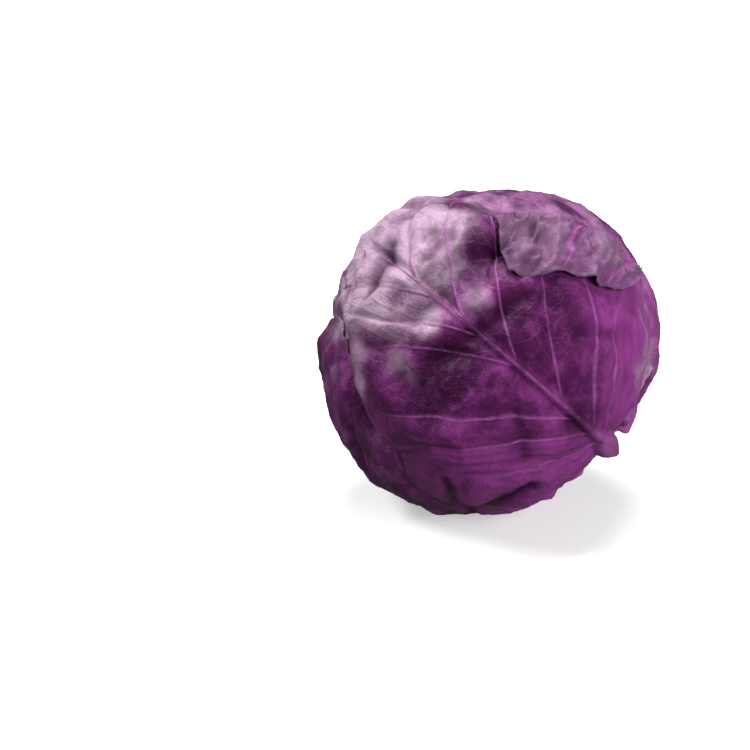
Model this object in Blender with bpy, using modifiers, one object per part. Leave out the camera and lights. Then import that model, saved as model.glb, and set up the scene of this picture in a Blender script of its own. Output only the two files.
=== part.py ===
"""A whole red cabbage lying on its side, resting on a small pressed-flat spot.

Every wrapper leaf is a closed blade laid on the leaves beneath it. A leaf is drawn in its own
flat map, in degrees: x runs along the midrib, with the stalk at -90, the girth at 0 and the crown
at +90, and y runs across it. The map is wrapped on the head about the point where x and y are 0.
The world origin is on the floor, straight below the middle of the head.
"""

import math

import bmesh
import bpy
import numpy as np
from mathutils import Vector

# Head
MEAN_RADIUS = 0.0769
STALK_END_TAPER = 0.0039
GIRTH_SWELL = 0.0029
WRAPPING_DEPTH = 0.0065
STALK_DIRECTION = (0.7605, -0.331, -0.559)
FRONT_DIRECTION = (0.0, -0.940, 0.342)
# Broad swellings and flats: azimuth and latitude of the middle, spread in degrees, rise
SWELLINGS = (
    (84, 40, 26, -0.0045),
    (-108, -69, 25, -0.0020),
    (104, -64, 25, 0.0016),
    (72, 69, 16, -0.0025),
)

# Rest
MIDDLE_HEIGHT = 0.0719
PRESS_ROUNDING = 0.0012
RELIEF_START_HEIGHT = 0.0005
RELIEF_CLEAR_HEIGHT = 0.006
# Ribs are pressed flat where the outward direction points down this much or more
RIBS_FULL_DOWN = 0.78
RIBS_GONE_DOWN = 0.92
# The head sinks this far into its own flat spot, which is then trimmed to the floor
TRIM_DEPTH = 0.0003
# Directions that point down less than this can't be reached by the floor
LEAST_DOWN = 0.2

# Leaves
BLADE = 0.0009
GAP = 0.0014
MIDRIB_BASE_HEIGHT = 0.0050
MIDRIB_TIP_HEIGHT = 0.0004
MIDRIB_BASE_WIDTH = 5.6
MIDRIB_TIP_WIDTH = 0.9
MIDRIB_ROUND_END = 4.0
# Powers: how fast a midrib sinks and narrows towards its tip, and how round it is across
MIDRIB_SINKING = 2.4
MIDRIB_NARROWING = 0.35
MIDRIB_ROUNDNESS = 0.7
COVERED_MIDRIB_HEIGHT = 0.0014
COVERED_MIDRIB_SHARE = 0.7
COVERED_MIDRIB_SPREAD = 6.5
# The front leaf's midrib ends in a fleshy nub at the stalk
NUB_HEIGHT = 0.0042
NUB_WIDTH = 2.4
NUB_FULL = 2.0
NUB_LENGTH = 16.0
NUB_ROUNDNESS = 0.4
VEIN_HEIGHT = 0.0013
VEIN_FOOT = 2.1
PILLOW_HEIGHT = 0.0009
RUFFLE_HEIGHT = 0.0017
RUFFLE_PITCH = 21.0
# Waves start at this share of the half width, and on the basal margins at these places
RUFFLE_START = 0.72
BASE_RUFFLE_START = 10.0
BASE_RUFFLE_FULL = 24.0
BASE_RUFFLE_DEPTH = 6.0
LEAF_BASE = -79.0
FRONT_LEAF_BASE = -82.0
# Veins leave the midrib at a slant, and those of the base most of all
LEAN_IN = 5.0
LEAN_REACH = 5.0
BASE_LEAN_IN = 7.0
FRONT_BASE_LEAN_IN = 2.0
BASE_LEAN_LENGTH = 3.0
COVERED_RELIEF = 0.15
# A leaf counts as covered this far outside the outline of the leaf that lies over it
COVER_FULL = 1.0
COVER_GONE = 6.0
# A leaf still lifts what lies over it this far outside its own outline, in degrees
LAYER_FULL = 5.0
LAYER_GONE = 16.0

# Folded margin of the front leaf: the crest's outward direction on the leaf's map, its distance
FOLD_OUTWARD = (0.51, 0.86)
FOLD_DISTANCE = 43.5
FOLD_BULGE = 5.0
FOLD_MIDDLE = -27.0
FOLD_SPREAD = 15.0
FOLD_RADIUS = 0.0017
# Past this place along the crest the margin lies flat
FOLD_END = 2.0
FOLD_END_LENGTH = 2.0
UNFOLDED_DISTANCE = 60.0

# Stalk
STALK_RADIUS = 0.0115
STALK_CUT = 0.0662
STALK_TIP = 0.0060
SOCKET_CLEARANCE = 0.0005
HEART_CLEARANCE = 0.0008
# Midribs of the heart's own outer leaves, seen round the stalk
HEART_RIB_AZIMUTHS = (-145, -72, 22, 93)
HEART_RIB_HEIGHT = 0.0024
HEART_RIB_WIDTH = 9.0
HEART_RIBS_FULL = 14.0
HEART_RIBS_GONE = 26.0


def unit(vector):
    vector = np.asarray(vector, dtype=float)
    return vector / np.linalg.norm(vector, axis=-1, keepdims=True)


CROWN = -unit(STALK_DIRECTION)
FRONT = unit(np.asarray(FRONT_DIRECTION) - np.dot(FRONT_DIRECTION, CROWN) * CROWN)
SIDE = np.cross(CROWN, FRONT)
MIDDLE = np.array((0.0, 0.0, MIDDLE_HEIGHT))


def smoothstep(low, high, value):
    part = np.clip((value - low) / (high - low), 0.0, 1.0)
    return part * part * (3.0 - 2.0 * part)


def smooth_curve(value, places, heights):
    """A soft curve through a few points, flat beyond its ends."""
    places = np.asarray(places, dtype=float)
    heights = np.asarray(heights, dtype=float)
    slopes = np.gradient(heights, places)
    value = np.clip(value, places[0], places[-1])
    piece = np.clip(np.searchsorted(places, value) - 1, 0, len(places) - 2)
    span = places[piece + 1] - places[piece]
    part = (value - places[piece]) / span
    rise = part * part * (3.0 - 2.0 * part)
    start_bend = part * (1.0 - part) ** 2 * span * slopes[piece]
    end_bend = -part * part * (1.0 - part) * span * slopes[piece + 1]
    return heights[piece] * (1.0 - rise) + heights[piece + 1] * rise + start_bend + end_bend


def head_direction(azimuth, latitude):
    turn, lift = math.radians(azimuth), math.radians(latitude)
    level = math.cos(turn) * FRONT + math.sin(turn) * SIDE
    return math.cos(lift) * level + math.sin(lift) * CROWN


class Leaf:
    """Outline and veins of one leaf. Vein places and widths are in degrees on its map."""

    def __init__(self, name, azimuth, ends, veins, slopes, widths, columns, phase, folded=False):
        self.name = name
        self.base, self.tip = ends
        self.veins = veins
        self.slopes = slopes
        self.widths = widths
        self.columns = columns
        self.phase = phase
        self.folded = folded
        self.base_lean = FRONT_BASE_LEAN_IN if folded else BASE_LEAN_IN
        turn = math.radians(azimuth)
        self.centre = math.cos(turn) * FRONT + math.sin(turn) * SIDE
        self.across = -math.sin(turn) * FRONT + math.cos(turn) * SIDE
        self.ring = outline(self)


def row_places(leaf, side):
    """Where each row leaves the midrib: on each vein, at both its feet and between veins."""
    veins = leaf.veins[side]
    rows = [leaf.base, leaf.base + 0.3 * MIDRIB_ROUND_END]
    if leaf.folded:
        rows.append(leaf.base + MIDRIB_ROUND_END)
    for before, vein in zip((leaf.base, *veins), veins):
        rows += [0.5 * (before + vein), vein - VEIN_FOOT, vein, vein + VEIN_FOOT]
    rows += [veins[-1] + (leaf.tip - veins[-1]) * part for part in (0.4, 0.7, 1.0)]
    return np.array(rows)


def half_width(leaf, side, place):
    places, widths = zip(*leaf.widths[side])
    return smooth_curve(place, places, widths)


def midrib_width(leaf, place):
    part = (place - leaf.base) / (leaf.tip - leaf.base)
    narrowed = (MIDRIB_TIP_WIDTH - MIDRIB_BASE_WIDTH) * part**MIDRIB_NARROWING
    return MIDRIB_BASE_WIDTH + narrowed + NUB_WIDTH * nub_share(leaf, place)


def nub_share(leaf, place):
    """1 in the nub at the end of the front leaf's midrib, 0 beyond it."""
    if not leaf.folded:
        return np.zeros_like(place)
    return 1.0 - smoothstep(NUB_FULL, NUB_LENGTH, place - leaf.base)


def midrib_height(leaf, place):
    part = np.clip((place - leaf.base) / (leaf.tip - leaf.base), 0.0, 1.0)
    from_end = np.clip((place - leaf.base) / MIDRIB_ROUND_END, 0.0, 1.0)
    rounded = np.sqrt(1.0 - (1.0 - from_end) ** 2)
    rise = (MIDRIB_BASE_HEIGHT - MIDRIB_TIP_HEIGHT) * (1.0 - part) ** MIDRIB_SINKING
    return MIDRIB_TIP_HEIGHT + (rise + NUB_HEIGHT * nub_share(leaf, place)) * rounded


def along(leaf, side, place, y):
    """The x that a row reaches at distance y from the midrib."""
    places, slopes = zip(*leaf.slopes[side])
    slope = smooth_curve(place, places, slopes)
    lean = LEAN_IN + leaf.base_lean * np.exp((leaf.base - place) / BASE_LEAN_LENGTH)
    return place + slope * y + lean * (1.0 - np.exp(-y / LEAN_REACH))


def beyond_fold(x, y):
    """Distance outside the crest of the fold."""
    out_x, out_y = FOLD_OUTWARD
    crest = out_y * x - out_x * y
    bulge = FOLD_BULGE * np.exp(-(((crest - FOLD_MIDDLE) / FOLD_SPREAD) ** 2))
    unfolded = UNFOLDED_DISTANCE * smoothstep(FOLD_END, FOLD_END + FOLD_END_LENGTH, crest)
    return out_x * x + out_y * y - FOLD_DISTANCE - bulge - unfolded


def fold_place(leaf, side, place):
    """The y at which a row crosses the crest of the fold."""
    low = np.zeros_like(place)
    high = np.full_like(place, 110.0)
    for _ in range(30):
        middle = 0.5 * (low + high)
        outside = beyond_fold(along(leaf, side, place, middle), middle) > 0.0
        high = np.where(outside, middle, high)
        low = np.where(outside, low, middle)
    return 0.5 * (low + high)


def outline(leaf):
    """The leaf's outline on its map, as a closed ring. A folded margin ends at its crest."""
    ring = []
    for side, sign in ((0, 1.0), (1, -1.0)):
        places = row_places(leaf, side)
        widths = half_width(leaf, side, places)
        if leaf.folded and side == 0:
            widths = np.minimum(widths, fold_place(leaf, side, places))
        base_y = np.linspace(0.0, widths[0], 9)
        base_x = along(leaf, side, np.full(9, leaf.base), base_y)
        x = np.concatenate((base_x, along(leaf, side, places[1:], widths[1:])))
        y = sign * np.concatenate((base_y, widths[1:]))
        points = np.stack((x, y), axis=-1)
        ring.append(points if side == 0 else points[::-1])
    return np.concatenate(ring)


def to_direction(leaf, x, y):
    reach, turn = np.radians(np.hypot(x, y)), np.arctan2(y, x)
    out_along = np.cos(turn)[..., None] * CROWN + np.sin(turn)[..., None] * leaf.across
    return np.cos(reach)[..., None] * leaf.centre + np.sin(reach)[..., None] * out_along


def to_map(leaf, directions):
    reach = np.degrees(np.arccos(np.clip(directions @ leaf.centre, -1.0, 1.0)))
    turn = np.arctan2(directions @ leaf.across, directions @ CROWN)
    return np.stack((reach * np.cos(turn), reach * np.sin(turn)), axis=-1)


def distance_outside(leaf, directions):
    """Degrees from the leaf's outline, negative inside it."""
    points = to_map(leaf, directions)
    start = leaf.ring
    run = np.roll(start, -1, axis=0) - start
    offset = points[..., None, :] - start
    length = np.maximum((run**2).sum(-1), 1e-9)
    part = np.clip((offset * run).sum(-1) / length, 0.0, 1.0)
    nearest = np.sqrt(((offset - part[..., None] * run) ** 2).sum(-1)).min(-1)
    above = start[:, 1] > points[..., None, 1]
    crossed = above != np.roll(above, -1, axis=-1)
    reached = offset[..., 1] / np.where(run[:, 1] == 0.0, 1e-9, run[:, 1])
    hits = crossed & (offset[..., 0] < reached * run[:, 0])
    return np.where(hits.sum(-1) % 2 == 1, -nearest, nearest)


def off_floor(directions):
    """Ribs are pressed flat towards the spot that the head rests on."""
    return 1.0 - smoothstep(RIBS_FULL_DOWN, RIBS_GONE_DOWN, -directions[..., 2])


def layer_height(leaf, directions):
    """How far a leaf lifts whatever lies over it."""
    outside = distance_outside(leaf, directions)
    point = to_map(leaf, directions)
    rib = np.minimum(midrib_height(leaf, point[..., 0]), COVERED_MIDRIB_HEIGHT)
    bump = rib * np.exp(-((point[..., 1] / COVERED_MIDRIB_SPREAD) ** 2))
    bump = bump * off_floor(directions)
    return (BLADE + GAP + bump) * (1.0 - smoothstep(LAYER_FULL, LAYER_GONE, outside))


def heart_radius(directions, leaves):
    """The packed heart, pressed so that the leaf over it lies flat on the floor."""
    along_stalk = -(directions @ CROWN)
    radius = MEAN_RADIUS - STALK_END_TAPER * along_stalk - WRAPPING_DEPTH
    radius = radius - GIRTH_SWELL * (2.0 * along_stalk**2 - 1.0)
    for azimuth, latitude, spread, rise in SWELLINGS:
        middle = head_direction(azimuth, latitude)
        angle = np.degrees(np.arccos(np.clip(directions @ middle, -1.0, 1.0)))
        radius = radius + rise * np.exp(-((angle / spread) ** 2))
    stack = sum(layer_height(leaf, directions) for leaf in leaves)
    down = np.maximum(-directions[..., 2], LEAST_DOWN)
    pressed = (MIDDLE_HEIGHT + TRIM_DEPTH) / down - stack
    blend = np.maximum(PRESS_ROUNDING - np.abs(radius - pressed), 0.0) / PRESS_ROUNDING
    return np.minimum(radius, pressed) - blend**2 * PRESS_ROUNDING / 4.0


def heart_ribs(directions):
    """Ribs that run out from the stalk and sink before they meet the wrapper leaves."""
    from_stalk = np.degrees(np.arccos(np.clip(-(directions @ CROWN), -1.0, 1.0)))
    azimuth = np.degrees(np.arctan2(directions @ SIDE, directions @ FRONT))
    shown = 1.0 - smoothstep(HEART_RIBS_FULL, HEART_RIBS_GONE, from_stalk)
    ribs = np.zeros_like(from_stalk)
    for rib in HEART_RIB_AZIMUTHS:
        away = (azimuth - rib + 180.0) % 360.0 - 180.0
        across = away * np.sin(np.radians(from_stalk))
        ribs = np.maximum(ribs, np.exp(-((across / (HEART_RIB_WIDTH / 2.0)) ** 2)))
    return HEART_RIB_HEIGHT * ribs * shown


def vein_relief(leaf, side, place, y, width):
    """Side veins stand proud of the blade and fade towards the margin."""
    nearest = np.min([np.abs(place - vein) for vein in leaf.veins[side]], axis=0)
    fade = np.clip(1.0 - y / np.maximum(width, 1.0), 0.0, 1.0) ** 0.7
    ridge = np.clip(1.0 - nearest / VEIN_FOOT, 0.0, 1.0)
    return VEIN_HEIGHT * ridge * fade


def pillow(leaf, side, place, y, width):
    """The blade swells a little between neighbouring veins."""
    stops = np.array((leaf.base, *leaf.veins[side], leaf.tip))
    number = np.clip(np.searchsorted(stops, place) - 1, 0, len(stops) - 2)
    part = (place - stops[number]) / (stops[number + 1] - stops[number])
    room = smoothstep(0.0, 0.2, y / width) * (1.0 - smoothstep(0.75, 1.0, y / width))
    return PILLOW_HEIGHT * 4.0 * part * (1.0 - part) * room


def ruffle(leaf, place, y, width):
    """Waves that lift the free margin, also along the two basal margins."""
    at_side = smoothstep(RUFFLE_START, 1.0, y / width)
    at_base = smoothstep(BASE_RUFFLE_START, BASE_RUFFLE_FULL, y)
    at_base = at_base * (1.0 - smoothstep(0.0, BASE_RUFFLE_DEPTH, place - leaf.base))
    side_wave = 0.5 + 0.5 * np.sin(2.0 * math.pi * place / RUFFLE_PITCH + leaf.phase)
    base_wave = 0.5 + 0.5 * np.sin(2.0 * math.pi * y / RUFFLE_PITCH + leaf.phase)
    return RUFFLE_HEIGHT * np.maximum(at_side * side_wave, at_base * base_wave)


def blade_grid(leaf, side):
    """Places along the midrib and distances from it, for the rows and columns of one side."""
    places = row_places(leaf, side)
    widths = half_width(leaf, side, places)
    foot = np.minimum(midrib_width(leaf, places), WIDEST_FOOT * widths)
    inner = np.array(leaf.columns)
    if leaf.folded and side == 0:
        crest = np.minimum(fold_place(leaf, side, places), WIDEST_CREST * widths)
        flap = np.array(FLAP_COLUMNS)
        near = foot[:, None] + (crest - foot)[:, None] * inner
        far = crest[:, None] + (widths - crest)[:, None] * flap
        y = np.concatenate((near, far), axis=1)
    else:
        y = foot[:, None] + (widths - foot)[:, None] * inner
    half_foot = 0.5 * foot[:, None]
    return places, widths, np.concatenate((half_foot, y), axis=1)


def blade_side(leaf, side):
    """Map places and relief of the grid on one side of the midrib."""
    places, widths, y = blade_grid(leaf, side)
    sign = 1.0 - 2.0 * side
    place = np.broadcast_to(places[:, None], y.shape)
    width = np.broadcast_to(widths[:, None], y.shape)
    x = along(leaf, side, place, y)
    relief = vein_relief(leaf, side, place, y, width)
    swell = pillow(leaf, side, place, y, width) + ruffle(leaf, place, y, width)
    rib_share = np.clip(1.0 - y / np.maximum(y[:, 1:2], 1e-6), 0.0, 1.0)
    relief[:, 0] = 0.0
    return place, x, sign * y, relief, swell, rib_share


def leaf_faces(leaf, leaves):
    """The points of both faces of a leaf as two grids, rows along the midrib."""
    number = leaves.index(leaf)
    below, above = leaves[:number], leaves[number + 1:]
    right, left = blade_side(leaf, 0), blade_side(leaf, 1)
    middle_x = 0.5 * (right[0][:, :1] + left[0][:, :1])
    nothing = np.zeros_like(middle_x)
    spine = (middle_x, middle_x, nothing, nothing, nothing, nothing + 1.0)
    joined = zip(left, spine, right)
    place, x, y, relief, swell, rib_share = (
        np.concatenate((a[:, ::-1], b, c), axis=1) for a, b, c in joined
    )
    nub = nub_share(leaf, place)
    roundness = MIDRIB_ROUNDNESS + (NUB_ROUNDNESS - MIDRIB_ROUNDNESS) * nub
    rib = midrib_height(leaf, place) * rib_share**roundness

    roll = np.zeros_like(x)
    if leaf.folded:
        outside = beyond_fold(x, y)
        arc = np.maximum(np.radians(outside) * MEAN_RADIUS, 0.0) * (y > 0.0)
        turn = np.minimum(arc / FOLD_RADIUS, math.pi)
        back = np.maximum(arc - math.pi * FOLD_RADIUS, 0.0)
        shift = np.degrees((FOLD_RADIUS * np.sin(turn) - back - arc) / MEAN_RADIUS)
        x = x + FOLD_OUTWARD[0] * shift * (arc > 0.0)
        y = y + FOLD_OUTWARD[1] * shift * (arc > 0.0)
        roll = turn

    directions = to_direction(leaf, x, y)
    covered = np.zeros_like(x)
    for outer in above:
        over = 1.0 - smoothstep(COVER_FULL, COVER_GONE, distance_outside(outer, directions))
        covered = np.maximum(covered, over)
    base = heart_radius(directions, leaves) + GAP
    for inner in below:
        base = base + layer_height(inner, directions)
    height = MIDDLE_HEIGHT + (base + BLADE) * directions[..., 2]
    free = smoothstep(RELIEF_START_HEIGHT, RELIEF_CLEAR_HEIGHT, height)
    shown = (COVERED_RELIEF + (1.0 - COVERED_RELIEF) * (1.0 - covered)) * free
    low_rib = np.minimum(rib, COVERED_MIDRIB_HEIGHT * COVERED_MIDRIB_SHARE)
    rib = (rib * (1.0 - covered) + low_rib * covered) * free * off_floor(directions)

    lift = FOLD_RADIUS * (1.0 - np.cos(roll))
    flat = roll == 0.0
    reach = base + BLADE / 2.0 + swell * shown * flat + lift
    middle = MIDDLE + reach[..., None] * directions
    edge = to_direction(leaf, x + EDGE_STEP * FOLD_OUTWARD[0], y + EDGE_STEP * FOLD_OUTWARD[1])
    outward = unit(edge - (edge * directions).sum(-1, keepdims=True) * directions)
    normal = np.cos(roll)[..., None] * directions + np.sin(roll)[..., None] * outward
    outer = middle + (BLADE / 2.0 + relief * shown * flat + rib)[..., None] * normal
    inner = middle - (BLADE / 2.0) * normal
    outer[..., 2] = np.maximum(outer[..., 2], 0.0)
    return outer, inner


def material(name, colour, roughness):
    made = bpy.data.materials.new(name)
    made.use_nodes = True
    shader = made.node_tree.nodes["Principled BSDF"]
    shader.inputs["Base Color"].default_value = (*colour, 1.0)
    shader.inputs["Roughness"].default_value = roughness
    shader.inputs["Metallic"].default_value = 0.0
    return made


def add_object(name, bm, surface, home):
    mesh = bpy.data.meshes.new(name)
    bm.to_mesh(mesh)
    bm.free()
    made = bpy.data.objects.new(name, mesh)
    made.data.materials.append(surface)
    home.objects.link(made)
    return made


def add_leaf(leaf, leaves, surface, home):
    outer, inner = leaf_faces(leaf, leaves)
    rows, columns = outer.shape[:2]
    bm = bmesh.new()
    bmesh.ops.create_grid(bm, x_segments=rows - 1, y_segments=columns - 1, size=1.0)
    row_layer = bm.verts.layers.int.new("row")
    column_layer = bm.verts.layers.int.new("column")
    for vert in bm.verts:
        vert[row_layer] = round((vert.co.x + 1.0) / 2.0 * (rows - 1))
        vert[column_layer] = round((vert.co.y + 1.0) / 2.0 * (columns - 1))
    for vert in bm.verts:
        vert.co = Vector(outer[vert[row_layer], vert[column_layer]])
    bmesh.ops.triangulate(bm, faces=bm.faces[:], quad_method="SHORT_EDGE")
    copy = bmesh.ops.extrude_face_region(bm, geom=bm.faces[:])
    for vert in copy["geom"]:
        if isinstance(vert, bmesh.types.BMVert):
            vert.co = Vector(inner[vert[row_layer], vert[column_layer]])
    bmesh.ops.triangulate(bm, faces=bm.faces[:])
    bmesh.ops.recalc_face_normals(bm, faces=bm.faces[:])
    made = add_object(leaf.name, bm, surface, home)
    made.data.shade_smooth()
    made.data.set_sharp_from_angle(angle=math.radians(SHARP_ANGLE))
    return made


def add_turned(name, profile, surface, home):
    """A profile, given from its top down its outer side, turned about the stalk's axis."""
    bm = bmesh.new()
    verts = [bm.verts.new((radius, 0.0, height)) for radius, height in profile]
    for start, end in zip(verts, verts[1:]):
        bm.edges.new((start, end))
    made = add_object(name, bm, surface, home)
    made.location = MIDDLE
    made.rotation_mode = "QUATERNION"
    made.rotation_quaternion = Vector(-CROWN).to_track_quat("Z", "X")
    screw = made.modifiers.new("Turn", "SCREW")
    screw.steps = screw.render_steps = 20
    screw.use_merge_vertices = True
    screw.merge_threshold = 0.0001
    return made


def stalk_profile(grow, top):
    """Radius and height along the stalk, from its cut end to its point in the heart."""
    return (
        (0.0, top),
        (STALK_RADIUS - 0.0012 + grow, top),
        (STALK_RADIUS + grow, top - 0.0016),
        (STALK_RADIUS + grow, 0.056),
        (0.0118 + grow, 0.042),
        (0.0085 + grow, 0.024),
        (0.0045 + grow, STALK_TIP + 0.003 - grow),
        (0.0, STALK_TIP - grow),
    )


def add_heart(leaves, surface, home, cutters):
    bm = bmesh.new()
    bmesh.ops.create_uvsphere(bm, u_segments=32, v_segments=16, radius=1.0)
    turn = Vector(-CROWN).to_track_quat("Z", "X")
    for vert in bm.verts:
        vert.co = turn @ vert.co
    directions = unit([vert.co[:] for vert in bm.verts])
    radius = heart_radius(directions, leaves) - HEART_CLEARANCE + heart_ribs(directions)
    for vert, direction, reach in zip(bm.verts, directions, radius):
        vert.co = Vector(MIDDLE + reach * direction)
    bmesh.ops.recalc_face_normals(bm, faces=bm.faces[:])
    made = add_object("heart", bm, surface, home)
    profile = stalk_profile(SOCKET_CLEARANCE, STALK_CUT + 0.01)
    socket = add_turned("socket_cutter", profile, surface, cutters)
    socket.hide_render = True
    socket.display_type = "WIRE"
    cut = made.modifiers.new("Socket", "BOOLEAN")
    cut.operation = "DIFFERENCE"
    cut.object = socket
    made.data.shade_smooth()
    return made


GENERAL_SLOPES = ((LEAF_BASE, 0.32), (-66, 0.75), (-52, 1.0), (-10, 1.15), (30, 1.3), (60, 1.3))
FRONT_SLOPES = (
    ((FRONT_LEAF_BASE, 0.32), (-66, 0.72), (-57, 0.98), (-14, 1.05), (30, 1.0), (60, 1.0)),
    ((FRONT_LEAF_BASE, 0.24), (-69.7, 0.85), (-57.8, 1.1), (-15, 1.5), (0, 1.6), (60, 1.6)),
)
FRONT_WIDTHS = (
    ((FRONT_LEAF_BASE, 54), (-77, 66), (-71, 73.5), (-66, 79), (-62, 80), (-57, 73.5), (-52, 68),
     (-46, 64), (-42, 60.5), (-37, 55), (-33, 51.5), (-30, 49.5), (-28, 47.5), (-26, 45.5),
     (-24, 42.5), (-22, 38), (-20, 35.5), (-15, 39.5), (-4, 40.5), (8, 37), (20, 32), (28, 28),
     (40, 20), (50, 12), (60, 3.5)),
    ((FRONT_LEAF_BASE, 52), (-77, 64), (-70, 64), (-66, 57), (-60, 52), (-52, 50), (-40, 44.5),
     (-30, 39.5), (-20, 35), (-10, 30.5), (2.5, 26), (12, 22), (20.5, 19), (30, 14), (37, 10),
     (50, 4.5), (60, 3)),
)
FRONT_VEINS = ((-66, -57, -36, -14, 8, 28), (-69.7, -57.8, -46, -15, 0, 20))
# Half widths of an ordinary leaf at shares of the way from its base to its tip
GENERAL_WIDTHS = (
    (0.0, 0.6), (0.03, 0.83), (0.07, 0.96), (0.12, 1.0), (0.25, 0.92), (0.4, 0.82),
    (0.55, 0.72), (0.7, 0.56), (0.85, 0.32), (0.95, 0.13), (1.0, 0.05),
)
# Columns of a blade from its midrib's foot to its margin, and of the folded margin
FRONT_COLUMNS = (0.0, 0.13, 0.28, 0.44, 0.6, 0.8, 1.0)
GENERAL_COLUMNS = (0.0, 0.14, 0.3, 0.47, 0.65, 0.83, 1.0)
FLAP_COLUMNS = (0.09, 0.18, 0.45, 0.72, 1.0)
# Largest shares of the half width for the midrib's foot and for the crest of the fold
WIDEST_FOOT = 0.4
WIDEST_CREST = 0.8
SHARP_ANGLE = 40
# A small step across the crest, in degrees, that finds the outward direction
EDGE_STEP = 0.5


def general_leaf(name, azimuth, tip, half_widths, phase):
    """A leaf of ordinary shape, slightly different on its two sides."""
    def place(share):
        return LEAF_BASE + (tip - LEAF_BASE) * share

    veins = (
        tuple(place(share) for share in (0.055, 0.2, 0.36, 0.53, 0.7)),
        tuple(place(share) for share in (0.05, 0.15, 0.3, 0.46, 0.63)),
    )
    slopes = (GENERAL_SLOPES, tuple((at, slope * 1.06) for at, slope in GENERAL_SLOPES))
    widths = tuple(
        tuple((place(share), width * size) for share, size in GENERAL_WIDTHS)
        for width in half_widths
    )
    return Leaf(name, azimuth, (LEAF_BASE, tip), veins, slopes, widths, GENERAL_COLUMNS, phase)


def all_leaves():
    """The wrapper leaves from the innermost to the outermost."""
    front = Leaf("wrapper_leaf_1", 0, (FRONT_LEAF_BASE, 60), FRONT_VEINS, FRONT_SLOPES,
                 FRONT_WIDTHS, FRONT_COLUMNS, 0.6, folded=True)
    return [
        general_leaf("wrapper_leaf_6", -38, 86, (62, 60), 2.1),
        general_leaf("wrapper_leaf_5", 174, 96, (66, 64), 4.4),
        general_leaf("wrapper_leaf_4", 48, 74, (64, 62), 0.3),
        general_leaf("wrapper_leaf_3", -105, 48, (66, 66), 3.2),
        general_leaf("wrapper_leaf_2", 138, 62, (64, 50), 1.2),
        front,
    ]


def main():
    for old in list(bpy.data.objects):
        bpy.data.objects.remove(old, do_unlink=True)
    home = bpy.data.collections.new("red_cabbage")
    cutters = bpy.data.collections.new("cutters")
    for collection in (home, cutters):
        bpy.context.scene.collection.children.link(collection)

    leaves = all_leaves()
    shades = {
        "wrapper_leaf_1": (0.135, 0.028, 0.115),
        "wrapper_leaf_2": (0.16, 0.045, 0.14),
        "wrapper_leaf_3": (0.11, 0.022, 0.095),
        "wrapper_leaf_4": (0.15, 0.04, 0.13),
        "wrapper_leaf_5": (0.30, 0.14, 0.26),
        "wrapper_leaf_6": (0.26, 0.11, 0.22),
    }
    for leaf in leaves:
        add_leaf(leaf, leaves, material(leaf.name, shades[leaf.name], 0.45), home)
    add_turned("stalk", stalk_profile(0.0, STALK_CUT), material("stalk", (0.62, 0.56, 0.40), 0.6), home)
    add_heart(leaves, material("heart", (0.20, 0.05, 0.16), 0.5), home, cutters)


main()
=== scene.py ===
"""A whole red cabbage lying on its side: ribbed wrapper leaves, heart and cut stalk.

Every wrapper leaf is drawn in its own flat map, in degrees: x runs along the midrib, with the
stalk at -90, the girth at 0 and the crown at +90, and y runs across it. The map is wrapped on
the head about the point where x and y are 0, over the leaves that lie beneath.
"""

import math

import bmesh
import bpy
import numpy as np
from bpy.props import FloatProperty, FloatVectorProperty, IntProperty, PointerProperty
from mathutils import Matrix, Vector


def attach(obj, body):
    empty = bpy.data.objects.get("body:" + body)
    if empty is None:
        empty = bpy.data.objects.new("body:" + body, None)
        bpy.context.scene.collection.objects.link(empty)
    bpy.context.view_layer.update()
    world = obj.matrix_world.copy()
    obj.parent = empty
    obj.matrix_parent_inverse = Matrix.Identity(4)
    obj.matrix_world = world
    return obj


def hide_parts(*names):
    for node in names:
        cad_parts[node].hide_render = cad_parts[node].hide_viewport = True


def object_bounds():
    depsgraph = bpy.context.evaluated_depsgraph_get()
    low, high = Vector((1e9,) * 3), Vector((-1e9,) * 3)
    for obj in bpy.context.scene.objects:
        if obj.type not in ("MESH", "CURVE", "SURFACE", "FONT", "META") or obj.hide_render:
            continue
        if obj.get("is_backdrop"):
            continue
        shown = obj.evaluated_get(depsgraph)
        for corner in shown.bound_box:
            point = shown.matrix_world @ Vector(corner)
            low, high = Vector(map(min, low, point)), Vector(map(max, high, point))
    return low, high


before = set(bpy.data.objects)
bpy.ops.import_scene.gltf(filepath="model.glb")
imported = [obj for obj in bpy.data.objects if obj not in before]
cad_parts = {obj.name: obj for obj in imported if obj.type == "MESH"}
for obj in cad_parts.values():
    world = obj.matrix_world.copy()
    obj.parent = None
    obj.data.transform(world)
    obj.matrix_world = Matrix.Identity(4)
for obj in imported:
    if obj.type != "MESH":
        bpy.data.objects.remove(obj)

bl_info = {
    "name": "Red Cabbage",
    "version": (1, 0, 0),
    "blender": (4, 5, 0),
    "location": "View3D > Sidebar > Cabbage",
    "description": "Models the wrapper leaves, heart and stalk of a red cabbage and its stage",
    "category": "Object",
}

CAD_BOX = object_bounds()

# Head
MEAN_RADIUS = 0.0769
STALK_END_TAPER = 0.0039
GIRTH_SWELL = 0.0029
WRAPPING_DEPTH = 0.0065
STALK_DIRECTION = (0.7605, -0.331, -0.559)
FRONT_DIRECTION = (0.0, -0.940, 0.342)
# Broad swellings and flats: azimuth and latitude of the middle, spread in degrees, rise
SWELLINGS = (
    (84, 40, 26, -0.0045),
    (-108, -69, 25, -0.0020),
    (104, -64, 25, 0.0016),
    (72, 69, 16, -0.0025),
)

# Rest
MIDDLE_HEIGHT = 0.0719
PRESS_ROUNDING = 0.0012
RELIEF_START_HEIGHT = 0.0005
RELIEF_CLEAR_HEIGHT = 0.006
# Ribs are pressed flat where the outward direction points down this much or more
RIBS_FULL_DOWN = 0.78
RIBS_GONE_DOWN = 0.92
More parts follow.
